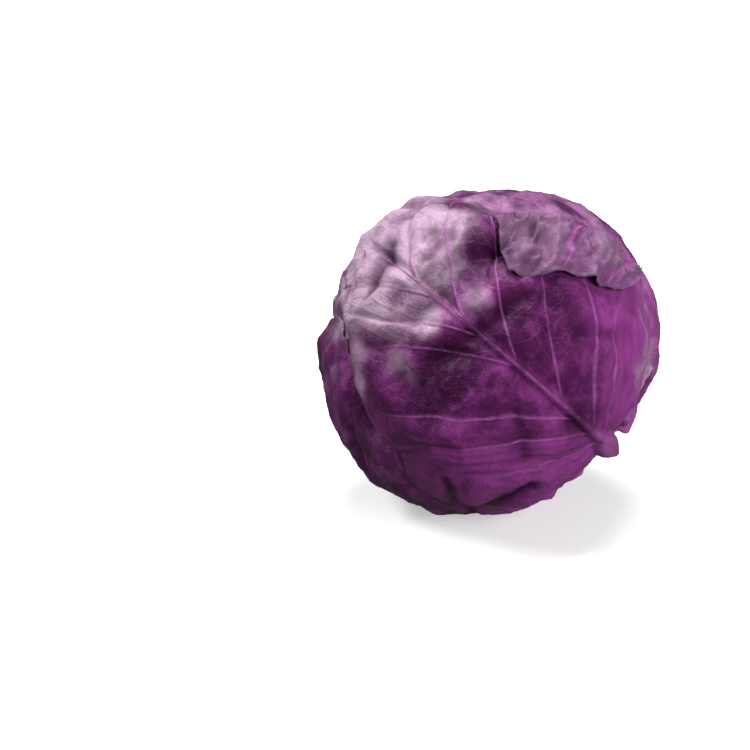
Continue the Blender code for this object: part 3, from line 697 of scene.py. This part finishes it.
def leaf_faces(leaf, leaves, sizes, rows, columns):
    """Both faces of a leaf as grids of points, with what its material reads."""
    number = leaves.index(leaf)
    grid = whole_blade(leaf, rows, columns, sizes)
    x, y, swell, flap = grid["x"], grid["y"], grid["swell"], grid["flap"]
    flat_x, flat_y = x, y
    rib = midrib_height(leaf, grid["place"]) * grid["rib"]

    roll = np.zeros_like(x)
    past_crest = np.zeros_like(x)
    ridges = np.zeros_like(x)
    if leaf.folded:
        past_crest = beyond_fold(x, y)
        under_flap = smoothstep(UNDER_FLAP_START, UNDER_FLAP_FULL, past_crest) * (y > 0.0)
        ridges = sum(np.maximum(rise, 0.0) for rise in fold_rise(x, y))
        swell = (swell + ridges) * (1.0 - 0.8 * under_flap)
        arc = np.maximum(np.radians(past_crest) * MEAN_RADIUS, 0.0) * (y > 0.0)
        roll = np.minimum(arc / FOLD_RADIUS, math.pi)
        back = np.maximum(arc - math.pi * FOLD_RADIUS, 0.0)
        shift = np.degrees((FOLD_RADIUS * np.sin(roll) - back - arc) / MEAN_RADIUS)
        x = x + FOLD_OUTWARD[0] * shift * (arc > 0.0)
        y = y + FOLD_OUTWARD[1] * shift * (arc > 0.0)

    directions = to_direction(leaf, x, y)
    outsides, heights = layers(leaves, directions)
    covered = np.zeros_like(x)
    for outside in outsides[number + 1:]:
        covered = np.maximum(covered, 1.0 - smoothstep(COVER_FULL, COVER_GONE, outside))
    base = heart_radius(leaves[-1], directions, sum(heights)) + GAP + sum(heights[:number])
    height = MIDDLE_HEIGHT + (base + BLADE) * directions[..., 2]
    free = smoothstep(RELIEF_START_HEIGHT, RELIEF_CLEAR_HEIGHT, height)
    shown = (COVERED_RELIEF + (1.0 - COVERED_RELIEF) * (1.0 - covered)) * free
    low_rib = np.minimum(rib, COVERED_MIDRIB_HEIGHT * COVERED_MIDRIB_SHARE)
    rib = (rib * (1.0 - covered) + low_rib * covered) * free * off_floor(directions)

    folded = np.clip(roll / math.pi, 0.0, 1.0)
    along_crest = FOLD_OUTWARD[1] * flat_x - FOLD_OUTWARD[0] * flat_y
    crumple = crumples(along_crest, past_crest)
    hang = noise(along_crest, past_crest * 0.3, FLAP_HANG_PITCH, 94)
    droop = 1.0 - (0.1 + 0.55 * hang) * smoothstep(0.25, 1.0, flap)
    lift = FOLD_RADIUS * (1.0 - np.cos(roll)) * droop
    from_crest = smoothstep(0.0, 0.4, flap) * smoothstep(2.0, 12.0, grid["place"] - leaf.base)
    lift = lift + sizes.flap_crumple * crumple * smoothstep(0.5, 1.0, folded) * from_crest
    settle = sizes.margin_settle * grid["rim"] * (1.0 - folded) * free
    swell = swell * shown * (1.0 - smoothstep(0.0, 0.4, folded))
    blade = BLADE - (BLADE - sizes.edge_blade) * smoothstep(0.1, 1.0, grid["margin"])
    middle = MIDDLE + (base + BLADE / 2.0 + swell + lift - settle)[..., None] * directions
    edge = to_direction(leaf, x + EDGE_STEP * FOLD_OUTWARD[0], y + EDGE_STEP * FOLD_OUTWARD[1])
    outward = unit(edge - (edge * directions).sum(-1, keepdims=True) * directions)
    normal = np.cos(roll)[..., None] * directions + np.sin(roll)[..., None] * outward
    relief = grid["relief"] * shown
    outer = middle + (blade / 2.0 + relief * (1.0 - folded) + rib)[..., None] * normal
    inner = middle - (blade / 2.0 - 0.45 * relief * folded)[..., None] * normal
    outer[..., 2] = np.maximum(outer[..., 2], 0.0)

    # Painted shade: the front leaf's hollows darken its colour and take away its wax and sheen
    hollow = hollows(leaves[-1], directions) * leaf.folded
    shade = np.clip(-hollow / DARKEST_HOLLOW, 0.0, 1.0)
    wax_and_sheen_level = wax_and_sheen_share(leaf, directions, flat_x, flat_y) * (1.0 - shade)
    # Painted light and shade: the facet look, which the material paints lighter where it is high,
    # rises on ridges and on the folded margin's crumples and falls in hollows
    facet = grid["facet"] + FOLD_PAINTED_LIGHT_AND_SHADE * (ridges + hollow)
    looks = {
        "vein": np.clip(grid["vein"], 0.0, 1.0),
        "bloom": wax_and_sheen_level * (1.0 - folded) + FLAP_BLOOM * folded,
        "margin": grid["margin"],
        "flap": folded,
        "streak": grid["streak"],
        "young": grid["near_base"],
        "base": nub_share(leaf, grid["place"]) * grid["rib"],
        "shade": shade,
        "facet": np.where(flap > 0.0, 0.7 * crumple, facet),
    }
    return outer, inner, looks, np.stack((flat_x, flat_y), axis=-1) * MM_PER_DEGREE


def mesh_from(name, bm):
    mesh = bpy.data.meshes.new(name)
    bm.to_mesh(mesh)
    bm.free()
    return mesh


def mesh_points(mesh):
    points = np.empty(len(mesh.vertices) * 3)
    mesh.vertices.foreach_get("co", points)
    return points.reshape(-1, 3)


def store_points(mesh, points, looks):
    """Moves the points of a mesh and stores its looks on them."""
    mesh.vertices.foreach_set("co", points.ravel())
    for look, values in looks.items():
        layer = mesh.attributes.new(look, "FLOAT", "POINT")
        layer.data.foreach_set("value", np.ascontiguousarray(values))


def store_map(mesh, flat):
    """Stores each point's place on the flat leaf, which the net of fine veins follows."""
    corners = np.empty(len(mesh.loops), dtype=int)
    mesh.loops.foreach_get("vertex_index", corners)
    mesh.uv_layers.new(name="leaf_map").data.foreach_set("uv", flat[corners].ravel())


def leaf_mesh(name, outer, inner, looks, flat):
    """A closed blade from two grids of points, with its looks stored on the points."""
    rows, columns = outer.shape[:2]
    bm = bmesh.new()
    bmesh.ops.create_grid(bm, x_segments=rows - 1, y_segments=columns - 1, size=1.0)
    copy = bmesh.ops.extrude_face_region(bm, geom=bm.faces[:])
    lifted = [item for item in copy["geom"] if isinstance(item, bmesh.types.BMVert)]
    bmesh.ops.translate(bm, verts=lifted, vec=(0.0, 0.0, 1.0))
    bmesh.ops.recalc_face_normals(bm, faces=bm.faces[:])
    mesh = mesh_from(name, bm)

    spots = mesh_points(mesh)
    row = np.round((spots[:, 0] + 1.0) / 2.0 * (rows - 1)).astype(int)
    column = np.round((spots[:, 1] + 1.0) / 2.0 * (columns - 1)).astype(int)
    on_outer = spots[:, 2] > 0.5
    points = np.where(on_outer[:, None], outer[row, column], inner[row, column])
    store_points(mesh, points, {look: values[row, column] for look, values in looks.items()})
    store_map(mesh, flat[row, column])
    return outward_mesh(mesh)


def outward_mesh(mesh):
    """Turns the faces outwards and shades them smooth."""
    bm = bmesh.new()
    bm.from_mesh(mesh)
    bmesh.ops.recalc_face_normals(bm, faces=bm.faces[:])
    if bm.calc_volume(signed=True) < 0.0:
        bmesh.ops.reverse_faces(bm, faces=bm.faces[:])
    bm.to_mesh(mesh)
    bm.free()
    mesh.shade_smooth()
    mesh.update()
    return mesh


GENERAL_SLOPES = ((LEAF_BASE, 0.32), (-66, 0.75), (-52, 1.0), (-10, 1.15), (30, 1.3), (60, 1.3))
FRONT_SLOPES = (
    ((FRONT_LEAF_BASE, 0.32), (-66, 0.72), (-57, 0.98), (-14, 1.05), (30, 1.0), (60, 1.0)),
    ((FRONT_LEAF_BASE, 0.24), (-69.7, 0.85), (-57.8, 1.1), (-15, 1.5), (0, 1.6), (60, 1.6)),
)
FRONT_WIDTHS = (
    ((FRONT_LEAF_BASE, 54), (-77, 66), (-71, 73.5), (-66, 79), (-62, 80), (-57, 73.5), (-52, 68),
     (-46, 64), (-42, 60.5), (-37, 55), (-33, 51.5), (-30, 49.5), (-28, 47.5), (-26, 45.5),
     (-24, 42.5), (-22, 38), (-20, 35.5), (-15, 39.5), (-4, 40.5), (8, 37), (20, 32), (28, 28),
     (40, 20), (50, 12), (60, 3.5)),
    ((FRONT_LEAF_BASE, 52), (-77, 64), (-70, 64), (-66, 57), (-60, 52), (-52, 50), (-40, 44.5),
     (-30, 39.5), (-20, 35), (-10, 30.5), (2.5, 26), (12, 22), (20.5, 19), (30, 14), (37, 10),
     (50, 4.5), (60, 3)),
)
FRONT_VEINS = ((-66, -57, -36, -14, 8, 28), (-69.7, -57.8, -46, -15, 0, 20))
# Shares of a leaf's length: its veins on both sides, and its half widths
GENERAL_VEINS = ((0.055, 0.2, 0.36, 0.53, 0.7), (0.05, 0.15, 0.3, 0.46, 0.63))
GENERAL_WIDTHS = (
    (0.0, 0.6), (0.03, 0.83), (0.07, 0.96), (0.12, 1.0), (0.25, 0.92), (0.4, 0.82),
    (0.55, 0.72), (0.7, 0.56), (0.85, 0.32), (0.95, 0.13), (1.0, 0.05),
)
LEFT_SLOPE_SHARE = 1.06


def general_leaf(name, azimuth, tip, half_widths, phase, bloom):
    """A leaf of ordinary shape, slightly different on its two sides."""
    def place(share):
        return LEAF_BASE + (tip - LEAF_BASE) * share

    veins = tuple(tuple(place(share) for share in shares) for shares in GENERAL_VEINS)
    left_slopes = tuple((at, slope * LEFT_SLOPE_SHARE) for at, slope in GENERAL_SLOPES)
    widths = tuple(
        tuple((place(share), width * size) for share, size in GENERAL_WIDTHS)
        for width in half_widths
    )
    slopes = (GENERAL_SLOPES, left_slopes)
    return Leaf(name, azimuth, (LEAF_BASE, tip), veins, slopes, widths, phase, bloom)


def all_leaves():
    """The wrapper leaves from the innermost to the outermost."""
    front = Leaf("wrapper_leaf_1", 0, (FRONT_LEAF_BASE, 60), FRONT_VEINS, FRONT_SLOPES,
                 FRONT_WIDTHS, 0.6, 0.0, folded=True)
    return [
        general_leaf("wrapper_leaf_6", -38, 86, (62, 60), 2.1, 0.40),
        general_leaf("wrapper_leaf_5", 174, 96, (66, 64), 4.4, 0.40),
        general_leaf("wrapper_leaf_4", 48, 74, (64, 62), 0.3, 0.32),
        general_leaf("wrapper_leaf_3", -105, 48, (66, 66), 3.2, 0.12),
        general_leaf("wrapper_leaf_2", 138, 62, (64, 50), 1.2, 0.24),
        front,
    ]


class Wire:
    """A shader socket that can be used in Python expressions."""

    def __init__(self, tree, socket=None):
        self.tree = tree
        self.socket = socket

    def node(self, kind, settings=None, sockets=None, out=0):
        """Adds a node: first its settings, then its sockets, each a value or a wire."""
        made = self.tree.nodes.new(kind)
        for name, value in (settings or {}).items():
            setattr(made, name, value)
        for name, value in (sockets or {}).items():
            if isinstance(value, Wire):
                self.tree.links.new(value.socket, made.inputs[name])
            else:
                made.inputs[name].default_value = value
        return Wire(self.tree, made.outputs[out])

    def math(self, operation, first, second):
        return self.node("ShaderNodeMath", {"operation": operation}, {0: first, 1: second})

    def __add__(self, other):
        return self.math("ADD", self, other)

    def __sub__(self, other):
        return self.math("SUBTRACT", self, other)

    def __rsub__(self, other):
        return self.math("SUBTRACT", other, self)

    def __mul__(self, other):
        return self.math("MULTIPLY", self, other)

    __radd__ = __add__
    __rmul__ = __mul__

    def step(self, low, high):
        """0 below low, 1 above high, smooth between them."""
        sockets = {"Value": self, "From Min": low, "From Max": high}
        return self.node("ShaderNodeMapRange", {"interpolation_type": "SMOOTHSTEP"}, sockets)

    def mix(self, first, second):
        """Blends two colours, with this wire as the share of the second."""
        pair = [each if isinstance(each, Wire) else (*each, 1.0) for each in (first, second)]
        settings = {"data_type": "RGBA", "clamp_factor": True}
        return self.node("ShaderNodeMix", settings, {0: self, 6: pair[0], 7: pair[1]}, out=2)

    def look(self, name):
        """What the mesh stores on its points under a name."""
        return self.node("ShaderNodeAttribute", {"attribute_name": name}, out="Fac")

    def spots(self, place, scale, detail, rough=0.5, kind="FBM"):
        """Soft noise, around 0.5."""
        sockets = {"Vector": place, "Scale": scale, "Detail": detail, "Roughness": rough}
        return self.node("ShaderNodeTexNoise", {"noise_type": kind}, sockets)

    def bump(self, strength, distance):
        """The normal of a surface with this wire as its height."""
        sockets = {"Strength": strength, "Distance": distance, "Height": self}
        return self.node("ShaderNodeBump", {}, sockets)

    def feed(self, shader, name):
        self.tree.links.new(self.socket, shader.inputs[name])


def new_material(name):
    """An empty material: its start wire and its shader node."""
    made = bpy.data.materials.new(name)
    made.use_nodes = True
    tree = made.node_tree
    return made, Wire(tree), tree.nodes["Principled BSDF"]


def leaf_material(name, colours):
    """Waxy leaf: mottled purple, paler veins, a fine net and a grey bloom that is rubbed thin,
    with a painted sheen at the upper left, painted highlights on raised facets and crumples, and
    painted shade in dents and hollows.
    """
    made, start, shader = new_material(name)
    space = start.node("ShaderNodeTexCoord", out="Object")
    flat = start.node("ShaderNodeUVMap", {"uv_map": "leaf_map"})
    vein, bloom, margin = start.look("vein"), start.look("bloom"), start.look("margin")
    flap, streak, fleshy = start.look("flap"), start.look("streak"), start.look("base")
    young, shade, facet = start.look("young"), start.look("shade"), start.look("facet")

    broad = start.spots(space, 26.0, 3.0, 0.55)
    patchy = start.spots(space, 85.0, 4.0, 0.62)
    mottled = start.spots(space, 330.0, 3.0, 0.6)
    speckle = start.spots(space, 1100.0, 2.0, 0.6)
    crinkle = start.spots(space, 210.0, 3.0, 0.5, "RIDGED_MULTIFRACTAL")
    warp = start.node("ShaderNodeTexNoise", {}, {"Vector": flat, "Scale": 0.22}, out="Color")
    settings = {"operation": "MULTIPLY_ADD"}
    warped = {0: warp, 1: (3.5, 3.5, 0.0), 2: flat}
    warped = start.node("ShaderNodeVectorMath", settings, warped)
    cells = {"feature": "DISTANCE_TO_EDGE"}
    net = start.node("ShaderNodeTexVoronoi", cells, {"Vector": warped, "Scale": 0.21})
    fine = start.node("ShaderNodeTexVoronoi", cells, {"Vector": warped, "Scale": 0.62})
    net_line = 1.0 - net.step(0.0, 0.06)
    fine_line = 1.0 - fine.step(0.0, 0.09)

    # Painted light and shade: the colour is lighter on raised facets and crumples and darker in
    # dents, as the facet look rises and falls
    raised_highlight = facet.step(0.36, 0.66)
    body = (broad * 0.5 + facet * 0.6).step(0.42, 0.68).mix(colours.deep, colours.body)
    body = (patchy.step(0.40, 0.70) * (0.25 + 0.45 * raised_highlight)).mix(body, colours.glow)
    body = (young * (0.30 + 0.35 * patchy + 0.60 * streak)).mix(body, colours.glow)
    body = ((net_line * 0.5 + fine_line * 0.3) * patchy * 0.4).mix(body, colours.vein)
    # Painted shade in the front leaf's hollows
    body = (shade * 1.2).mix(body, colours.deep)
    along_vein = (broad + 0.6 * mottled).step(0.55, 1.0) * 0.75 + 0.15 + 0.1 * flap
    body = (vein.step(0.12, 0.9) * along_vein).mix(body, colours.vein)
    # Grey wax, and at the upper left a painted sheen of the light from there, laid on thicker on
    # raised facets
    wax_and_sheen_mask = (bloom * (0.60 + 0.50 * raised_highlight) + 0.6 * patchy + 0.4 * broad - 0.60).step(-0.03, 0.88)
    wax_and_sheen_mask = wax_and_sheen_mask * (0.25 + 0.5 * patchy + 0.65 * mottled) * (1.0 - 0.8 * vein)
    wax_and_sheen_mask = wax_and_sheen_mask * (1.0 - 0.35 * crinkle.step(0.25, 1.2))
    body = wax_and_sheen_mask.mix(body, colours.bloom)
    body = (fleshy * (0.5 + 0.5 * streak)).mix(body, colours.nub)
    body = (margin.step(0.3, 1.0) * 0.4).mix(body, colours.edge)
    # The dry face of the folded margin, painted lighter on its raised crumples
    body = (flap * (0.45 + 0.45 * raised_highlight) * (1.0 - 0.9 * vein)).mix(body, colours.dry)
    body.feed(shader, "Base Color")
    (0.33 + 0.16 * wax_and_sheen_mask + 0.14 * patchy).feed(shader, "Roughness")

    height = net_line * 0.22 + fine_line * 0.12 + patchy * 1.0 + mottled * 0.5 + speckle * 0.1
    height = height + crinkle * (0.02 + 0.28 * bloom)
    height.bump(0.75, 0.0008).feed(shader, "Normal")
    shader.inputs["Specular IOR Level"].default_value = 0.16
    return made


def stalk_material(colours):
    """Cut flesh: cream in the middle, drying to tan at the rim, with fine fibres."""
    made, start, shader = new_material("stalk_flesh")
    space = start.node("ShaderNodeTexCoord", out="Object")
    coarse = start.spots(space, 160.0, 5.0)
    fibres = start.spots(space, 900.0, 3.0)
    flesh = (coarse.step(0.35, 0.7) * 0.6).mix(colours.flesh, colours.flesh_shade)
    flesh = (start.look("rim") + 0.5 * coarse - 0.25).step(0.35, 0.9).mix(flesh, colours.dried)
    flesh.feed(shader, "Base Color")
    (coarse + 0.5 * fibres).bump(0.6, 0.0006).feed(shader, "Normal")
    shader.inputs["Roughness"].default_value = 0.62
    return made


def add_piece(name, mesh, surface, nodes):
    """Adds a piece of the cabbage that stands for some of the CAD nodes."""
    piece = bpy.data.objects.new(name, mesh)
    mesh.materials.append(surface)
    bpy.context.scene.collection.objects.link(piece)
    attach(piece, "root")
    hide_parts(*nodes)
    return piece


def length(name, description, default):
    return FloatProperty(name=name, description=description, default=default, unit="LENGTH")


def amount(name, description, default):
    return FloatProperty(name=name, description=description, default=default)


def tint(name, description, default):
    return FloatVectorProperty(
        name=name, description=description, default=default, subtype="COLOR"
    )


class CabbageSizes(bpy.types.PropertyGroup):
    """Sizes of the relief on the leaves"""

    rows: IntProperty(name="Rows", description="Rows along a wrapper leaf", default=150)
    columns: IntProperty(
        name="Columns", description="Columns on each side of a midrib", default=64
    )
    vein_height: length("Vein height", "Side veins over the blade", 0.0012)
    branch_height: length("Branch height", "Vein branches over the blade", 0.00028)
    pillow_height: length("Pillow height", "Swelling of the blade between veins", 0.0024)
    dent_height: length("Dent height", "Dents and creases of the blade", 0.0046)
    pleat_height: length("Pleat height", "Pleats that fan out from the stalk", 0.0007)
    ruffle_height: length("Ruffle height", "Waves of a free margin", 0.0006)
    flap_crumple: length("Flap crumple", "Waves of the folded margin", 0.0062)
    margin_settle: length("Margin settle", "How far a margin sinks on what it lies on", 0.0013)
    edge_blade: length("Edge thickness", "Thickness of the blade at its margin", 0.0005)


class CabbageColours(bpy.types.PropertyGroup):
    """Colours of the leaves and the stalk"""

    # Deep is also painted into dents and hollows as shade
    deep: tint("Deep", "Darkest leaf colour", (0.042, 0.004, 0.036))
    body: tint("Body", "Main leaf colour", (0.118, 0.014, 0.100))
    # Glow is also painted onto raised facets as highlight
    glow: tint("Glow", "Brightest leaf colour", (0.340, 0.055, 0.310))
    vein: tint("Vein", "Ribs and veins", (0.450, 0.130, 0.420))
    # Paints the grey wax, and also the painted sheen of the light at the upper left
    bloom: tint("Bloom", "Wax on the leaves", (0.550, 0.390, 0.515))
    nub: tint("Nub", "Fleshy base of a midrib", (0.215, 0.085, 0.190))
    edge: tint("Edge", "Thin margin of a leaf", (0.220, 0.100, 0.205))
    dry: tint("Dry", "Wilted face of the folded margin", (0.225, 0.125, 0.215))
    flesh: tint("Flesh", "Cut stalk", (0.70, 0.62, 0.42))
    flesh_shade: tint("Flesh shade", "Darker parts of the cut stalk", (0.55, 0.46, 0.27))
    dried: tint("Dried rim", "Dried rim of the cut stalk", (0.27, 0.16, 0.08))


class CabbageStage(bpy.types.PropertyGroup):
    """Camera and lights"""

    lens: amount("Lens", "Focal length in millimetres", 150.0)
    distance: length("Distance", "From the camera to the head", 1.447)
    elevation: FloatProperty(
        name="Elevation", description="How far the camera looks down",
        default=math.radians(20.0), subtype="ANGLE",
    )
    right_of_frame: length(
        "Right of frame", "How far right of the frame's middle the head stands", 0.0552
    )
    above_frame: length(
        "Above frame", "How far above the frame's middle the head stands", 0.0102
    )
    left: amount("Left", "Watts of the light at the left", 17.0)
    right: amount("Right", "Watts of the light at the right", 13.0)
    top: amount("Top", "Watts of the light above", 27.0)
    sky: amount("Sky", "Strength of the light all round", 0.15)
    floor_glow: amount("Floor glow", "Light of the floor itself, which keeps it white", 0.46)


class CABBAGE_OT_wrapper_leaves(bpy.types.Operator):
    """Models the six wrapper leaves"""

    bl_idname = "cabbage.wrapper_leaves"
    bl_label = "Wrapper Leaves"

    def execute(self, context):
        sizes, colours = context.scene.cabbage_sizes, context.scene.cabbage_colours
        surface = leaf_material("cabbage_leaf", colours)
        leaves = all_leaves()
        for leaf in leaves:
            fine = FRONT_FINENESS if leaf.folded else 1.0
            rows, columns = int(sizes.rows * fine), int(sizes.columns * fine)
            grids = leaf_faces(leaf, leaves, sizes, rows, columns)
            mesh = leaf_mesh(leaf.name + "_blade", *grids)
            add_piece(leaf.name + "_blade", mesh, surface, [leaf.name])
        return {"FINISHED"}


def heart_mesh(leaves):
    """The ball of packed inner leaves, ribbed and veined round the stalk."""
    bm = bmesh.new()
    bmesh.ops.create_uvsphere(bm, u_segments=160, v_segments=90, radius=1.0)
    turn = Vector(-CROWN).to_track_quat("Z", "X")
    bmesh.ops.rotate(bm, verts=bm.verts[:], matrix=turn.to_matrix())
    mesh = mesh_from("heart_ball", bm)
    directions = unit(mesh_points(mesh))
    _, heights = layers(leaves, directions)
    from_stalk = degrees_from(-CROWN, directions)
    azimuth = np.degrees(np.arctan2(directions @ SIDE, directions @ FRONT))
    shown = 1.0 - smoothstep(HEART_RIBS_FULL, HEART_RIBS_GONE, from_stalk)
    ribs = np.zeros_like(from_stalk)
    for rib in HEART_RIB_AZIMUTHS:
        away = (azimuth - rib + 180.0) % 360.0 - 180.0
        across = away * np.sin(np.radians(from_stalk))
        ribs = np.maximum(ribs, np.exp(-((across / HEART_RIB_WIDTH) ** 2)))
    wander = 30.0 * noise(azimuth, from_stalk, 9.0, 5)
    veins = np.maximum(np.cos(np.radians(azimuth * HEART_VEINS + wander)), 0.0)
    radius = heart_radius(leaves[-1], directions, sum(heights)) - HEART_CLEARANCE
    radius = radius + (HEART_RIB_HEIGHT * ribs + HEART_VEIN_HEIGHT * veins**4) * shown
    nowhere = np.zeros_like(radius)
    store_points(mesh, MIDDLE + radius[:, None] * directions, {
        "vein": np.clip(ribs + 0.5 * veins**4, 0.0, 1.0),
        "bloom": np.full_like(radius, 0.35),
        "margin": nowhere,
        "flap": nowhere,
        "streak": veins,
        "young": shown,
        "base": 0.6 * ribs,
        "shade": nowhere,
        "facet": np.full_like(radius, 0.5),
    })
    store_map(mesh, np.stack((from_stalk, azimuth), axis=-1) * MM_PER_DEGREE)
    return outward_mesh(mesh)


class CABBAGE_OT_heart(bpy.types.Operator):
    """Models the ball of packed inner leaves"""

    bl_idname = "cabbage.heart"
    bl_label = "Heart"

    def execute(self, context):
        mesh = heart_mesh(all_leaves())
        surface = leaf_material("heart_leaf", context.scene.cabbage_colours)
        add_piece("heart_ball", mesh, surface, ["heart"])
        return {"FINISHED"}


def stalk_mesh():
    """The stalk, turned from its profile, with an uneven cut end."""
    bm = bmesh.new()
    verts = [bm.verts.new((radius, 0.0, height)) for radius, height in STALK_PROFILE]
    edges = [bm.edges.new(pair) for pair in zip(verts, verts[1:])]
    bmesh.ops.subdivide_edges(bm, edges=edges, cuts=3)
    bmesh.ops.spin(
        bm, geom=bm.verts[:] + bm.edges[:], cent=(0, 0, 0), axis=(0, 0, 1),
        angle=2.0 * math.pi, steps=72, use_merge=True,
    )
    bmesh.ops.remove_doubles(bm, verts=bm.verts[:], dist=0.00001)
    mesh = mesh_from("stalk_core", bm)
    points = mesh_points(mesh)
    out = np.hypot(points[:, 0], points[:, 1]) / STALK_RADIUS
    at_cut = smoothstep(STALK_CUT - 0.008, STALK_CUT - 0.001, points[:, 2])
    rough = noise(points[:, 0], points[:, 1], CUT_ROUGHNESS_PITCH, 11) - 0.5
    points[:, 2] += rough * CUT_ROUGHNESS * at_cut * smoothstep(0.0, 0.5, out)
    store_points(mesh, points, {"rim": smoothstep(0.72, 1.0, out) * at_cut})
    turn = Vector(-CROWN).to_track_quat("Z", "X").to_matrix().to_4x4()
    mesh.transform(Matrix.Translation(MIDDLE) @ turn)
    return outward_mesh(mesh)


class CABBAGE_OT_stalk(bpy.types.Operator):
    """Models the stalk with its cut end"""

    bl_idname = "cabbage.stalk"
    bl_label = "Stalk"

    def execute(self, context):
        mesh = stalk_mesh()
        surface = stalk_material(context.scene.cabbage_colours)
        add_piece("stalk_core", mesh, surface, ["stalk"])
        return {"FINISHED"}


def add_floor(scene, glow):
    """A pale floor that gives some light itself, and that the head doesn't mirror."""
    bm = bmesh.new()
    bmesh.ops.create_grid(bm, x_segments=1, y_segments=1, size=FLOOR_SIZE)
    bmesh.ops.translate(bm, verts=bm.verts[:], vec=(0.0, 0.0, -FLOOR_DROP))
    mesh = mesh_from("floor", bm)
    floor = bpy.data.objects.new("floor", mesh)
    scene.collection.objects.link(floor)
    surface, _, shader = new_material("pale_floor")
    shader.inputs["Base Color"].default_value = (0.9, 0.9, 0.9, 1.0)
    shader.inputs["Roughness"].default_value = 0.7
    shader.inputs["Emission Color"].default_value = (1.0, 1.0, 1.0, 1.0)
    shader.inputs["Emission Strength"].default_value = glow
    mesh.materials.append(surface)
    floor.visible_diffuse = floor.visible_glossy = False
    floor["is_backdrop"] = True


def add_light(scene, name, place, size, watts):
    """A round light that shines on the head."""
    lamp = bpy.data.lights.new(name, "AREA")
    lamp.shape = "DISK"
    lamp.size = size
    lamp.energy = watts
    made = bpy.data.objects.new(name, lamp)
    made.location = place
    made.rotation_mode = "QUATERNION"
    made.rotation_quaternion = (Vector(MIDDLE) - Vector(place)).to_track_quat("-Z", "Y")
    scene.collection.objects.link(made)
    return made


def add_camera(scene, stage):
    """A camera in front of the head, which looks down at it."""
    right = Vector((1.0, 0.0, 0.0))
    lift = stage.elevation
    up = Vector((0.0, math.sin(lift), math.cos(lift)))
    back = Vector((0.0, -math.cos(lift), math.sin(lift)))
    lens = bpy.data.cameras.new("camera")
    lens.lens = stage.lens
    lens.sensor_width = SENSOR_WIDTH
    lens.clip_start, lens.clip_end = 0.05, 30.0
    camera = bpy.data.objects.new("camera", lens)
    target = Vector(MIDDLE) - right * stage.right_of_frame - up * stage.above_frame
    camera.location = target + back * stage.distance
    camera.rotation_mode = "QUATERNION"
    camera.rotation_quaternion = (-back).to_track_quat("-Z", "Y")
    scene.collection.objects.link(camera)
    scene.camera = camera


class CABBAGE_OT_stage(bpy.types.Operator):
    """Adds the floor, the lights and the camera"""

    bl_idname = "cabbage.stage"
    bl_label = "Stage"

    def execute(self, context):
        scene, stage = context.scene, context.scene.cabbage_stage
        add_floor(scene, stage.floor_glow)
        for name, (place, size) in LIGHTS.items():
            light = add_light(scene, name + "_light", place, size, getattr(stage, name))
            # The low light at the right would leave grey specks on the front leaf
            light.visible_glossy = name != "right"
        world = bpy.data.worlds.new("studio")
        world.use_nodes = True
        background = world.node_tree.nodes["Background"]
        background.inputs["Color"].default_value = (1.0, 1.0, 1.0, 1.0)
        background.inputs["Strength"].default_value = stage.sky
        scene.world = world
        scene.view_settings.view_transform = "Standard"
        add_camera(scene, stage)
        return {"FINISHED"}


class CABBAGE_PT_panel(bpy.types.Panel):
    """Lists the pieces of the cabbage"""

    bl_idname = "CABBAGE_PT_panel"
    bl_label = "Red Cabbage"
    bl_space_type = "VIEW_3D"
    bl_region_type = "UI"
    bl_category = "Cabbage"

    def draw(self, context):
        for group in ("cabbage_sizes", "cabbage_colours", "cabbage_stage"):
            settings = getattr(context.scene, group)
            box = self.layout.box()
            for name in settings.__annotations__:
                box.prop(settings, name)
        for operator in OPERATORS:
            self.layout.operator(operator.bl_idname)


OPERATORS = (
    CABBAGE_OT_stage,
    CABBAGE_OT_heart,
    CABBAGE_OT_stalk,
    CABBAGE_OT_wrapper_leaves,
)
GROUPS = {
    "cabbage_sizes": CabbageSizes,
    "cabbage_colours": CabbageColours,
    "cabbage_stage": CabbageStage,
}


def register():
    for kind in (*GROUPS.values(), *OPERATORS, CABBAGE_PT_panel):
        bpy.utils.register_class(kind)
    for name, group in GROUPS.items():
        setattr(bpy.types.Scene, name, PointerProperty(type=group))


def unregister():
    for name in GROUPS:
        delattr(bpy.types.Scene, name)
    for kind in reversed((*GROUPS.values(), *OPERATORS, CABBAGE_PT_panel)):
        bpy.utils.unregister_class(kind)


def main():
    register()
    bpy.ops.cabbage.stage()
    bpy.ops.cabbage.heart()
    bpy.ops.cabbage.stalk()
    bpy.ops.cabbage.wrapper_leaves()
    boxes = {"cad": CAD_BOX, "visual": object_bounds()}
    {name: [list(corner) for corner in box] for name, box in boxes.items()}


if __name__ == "__main__":
    main()
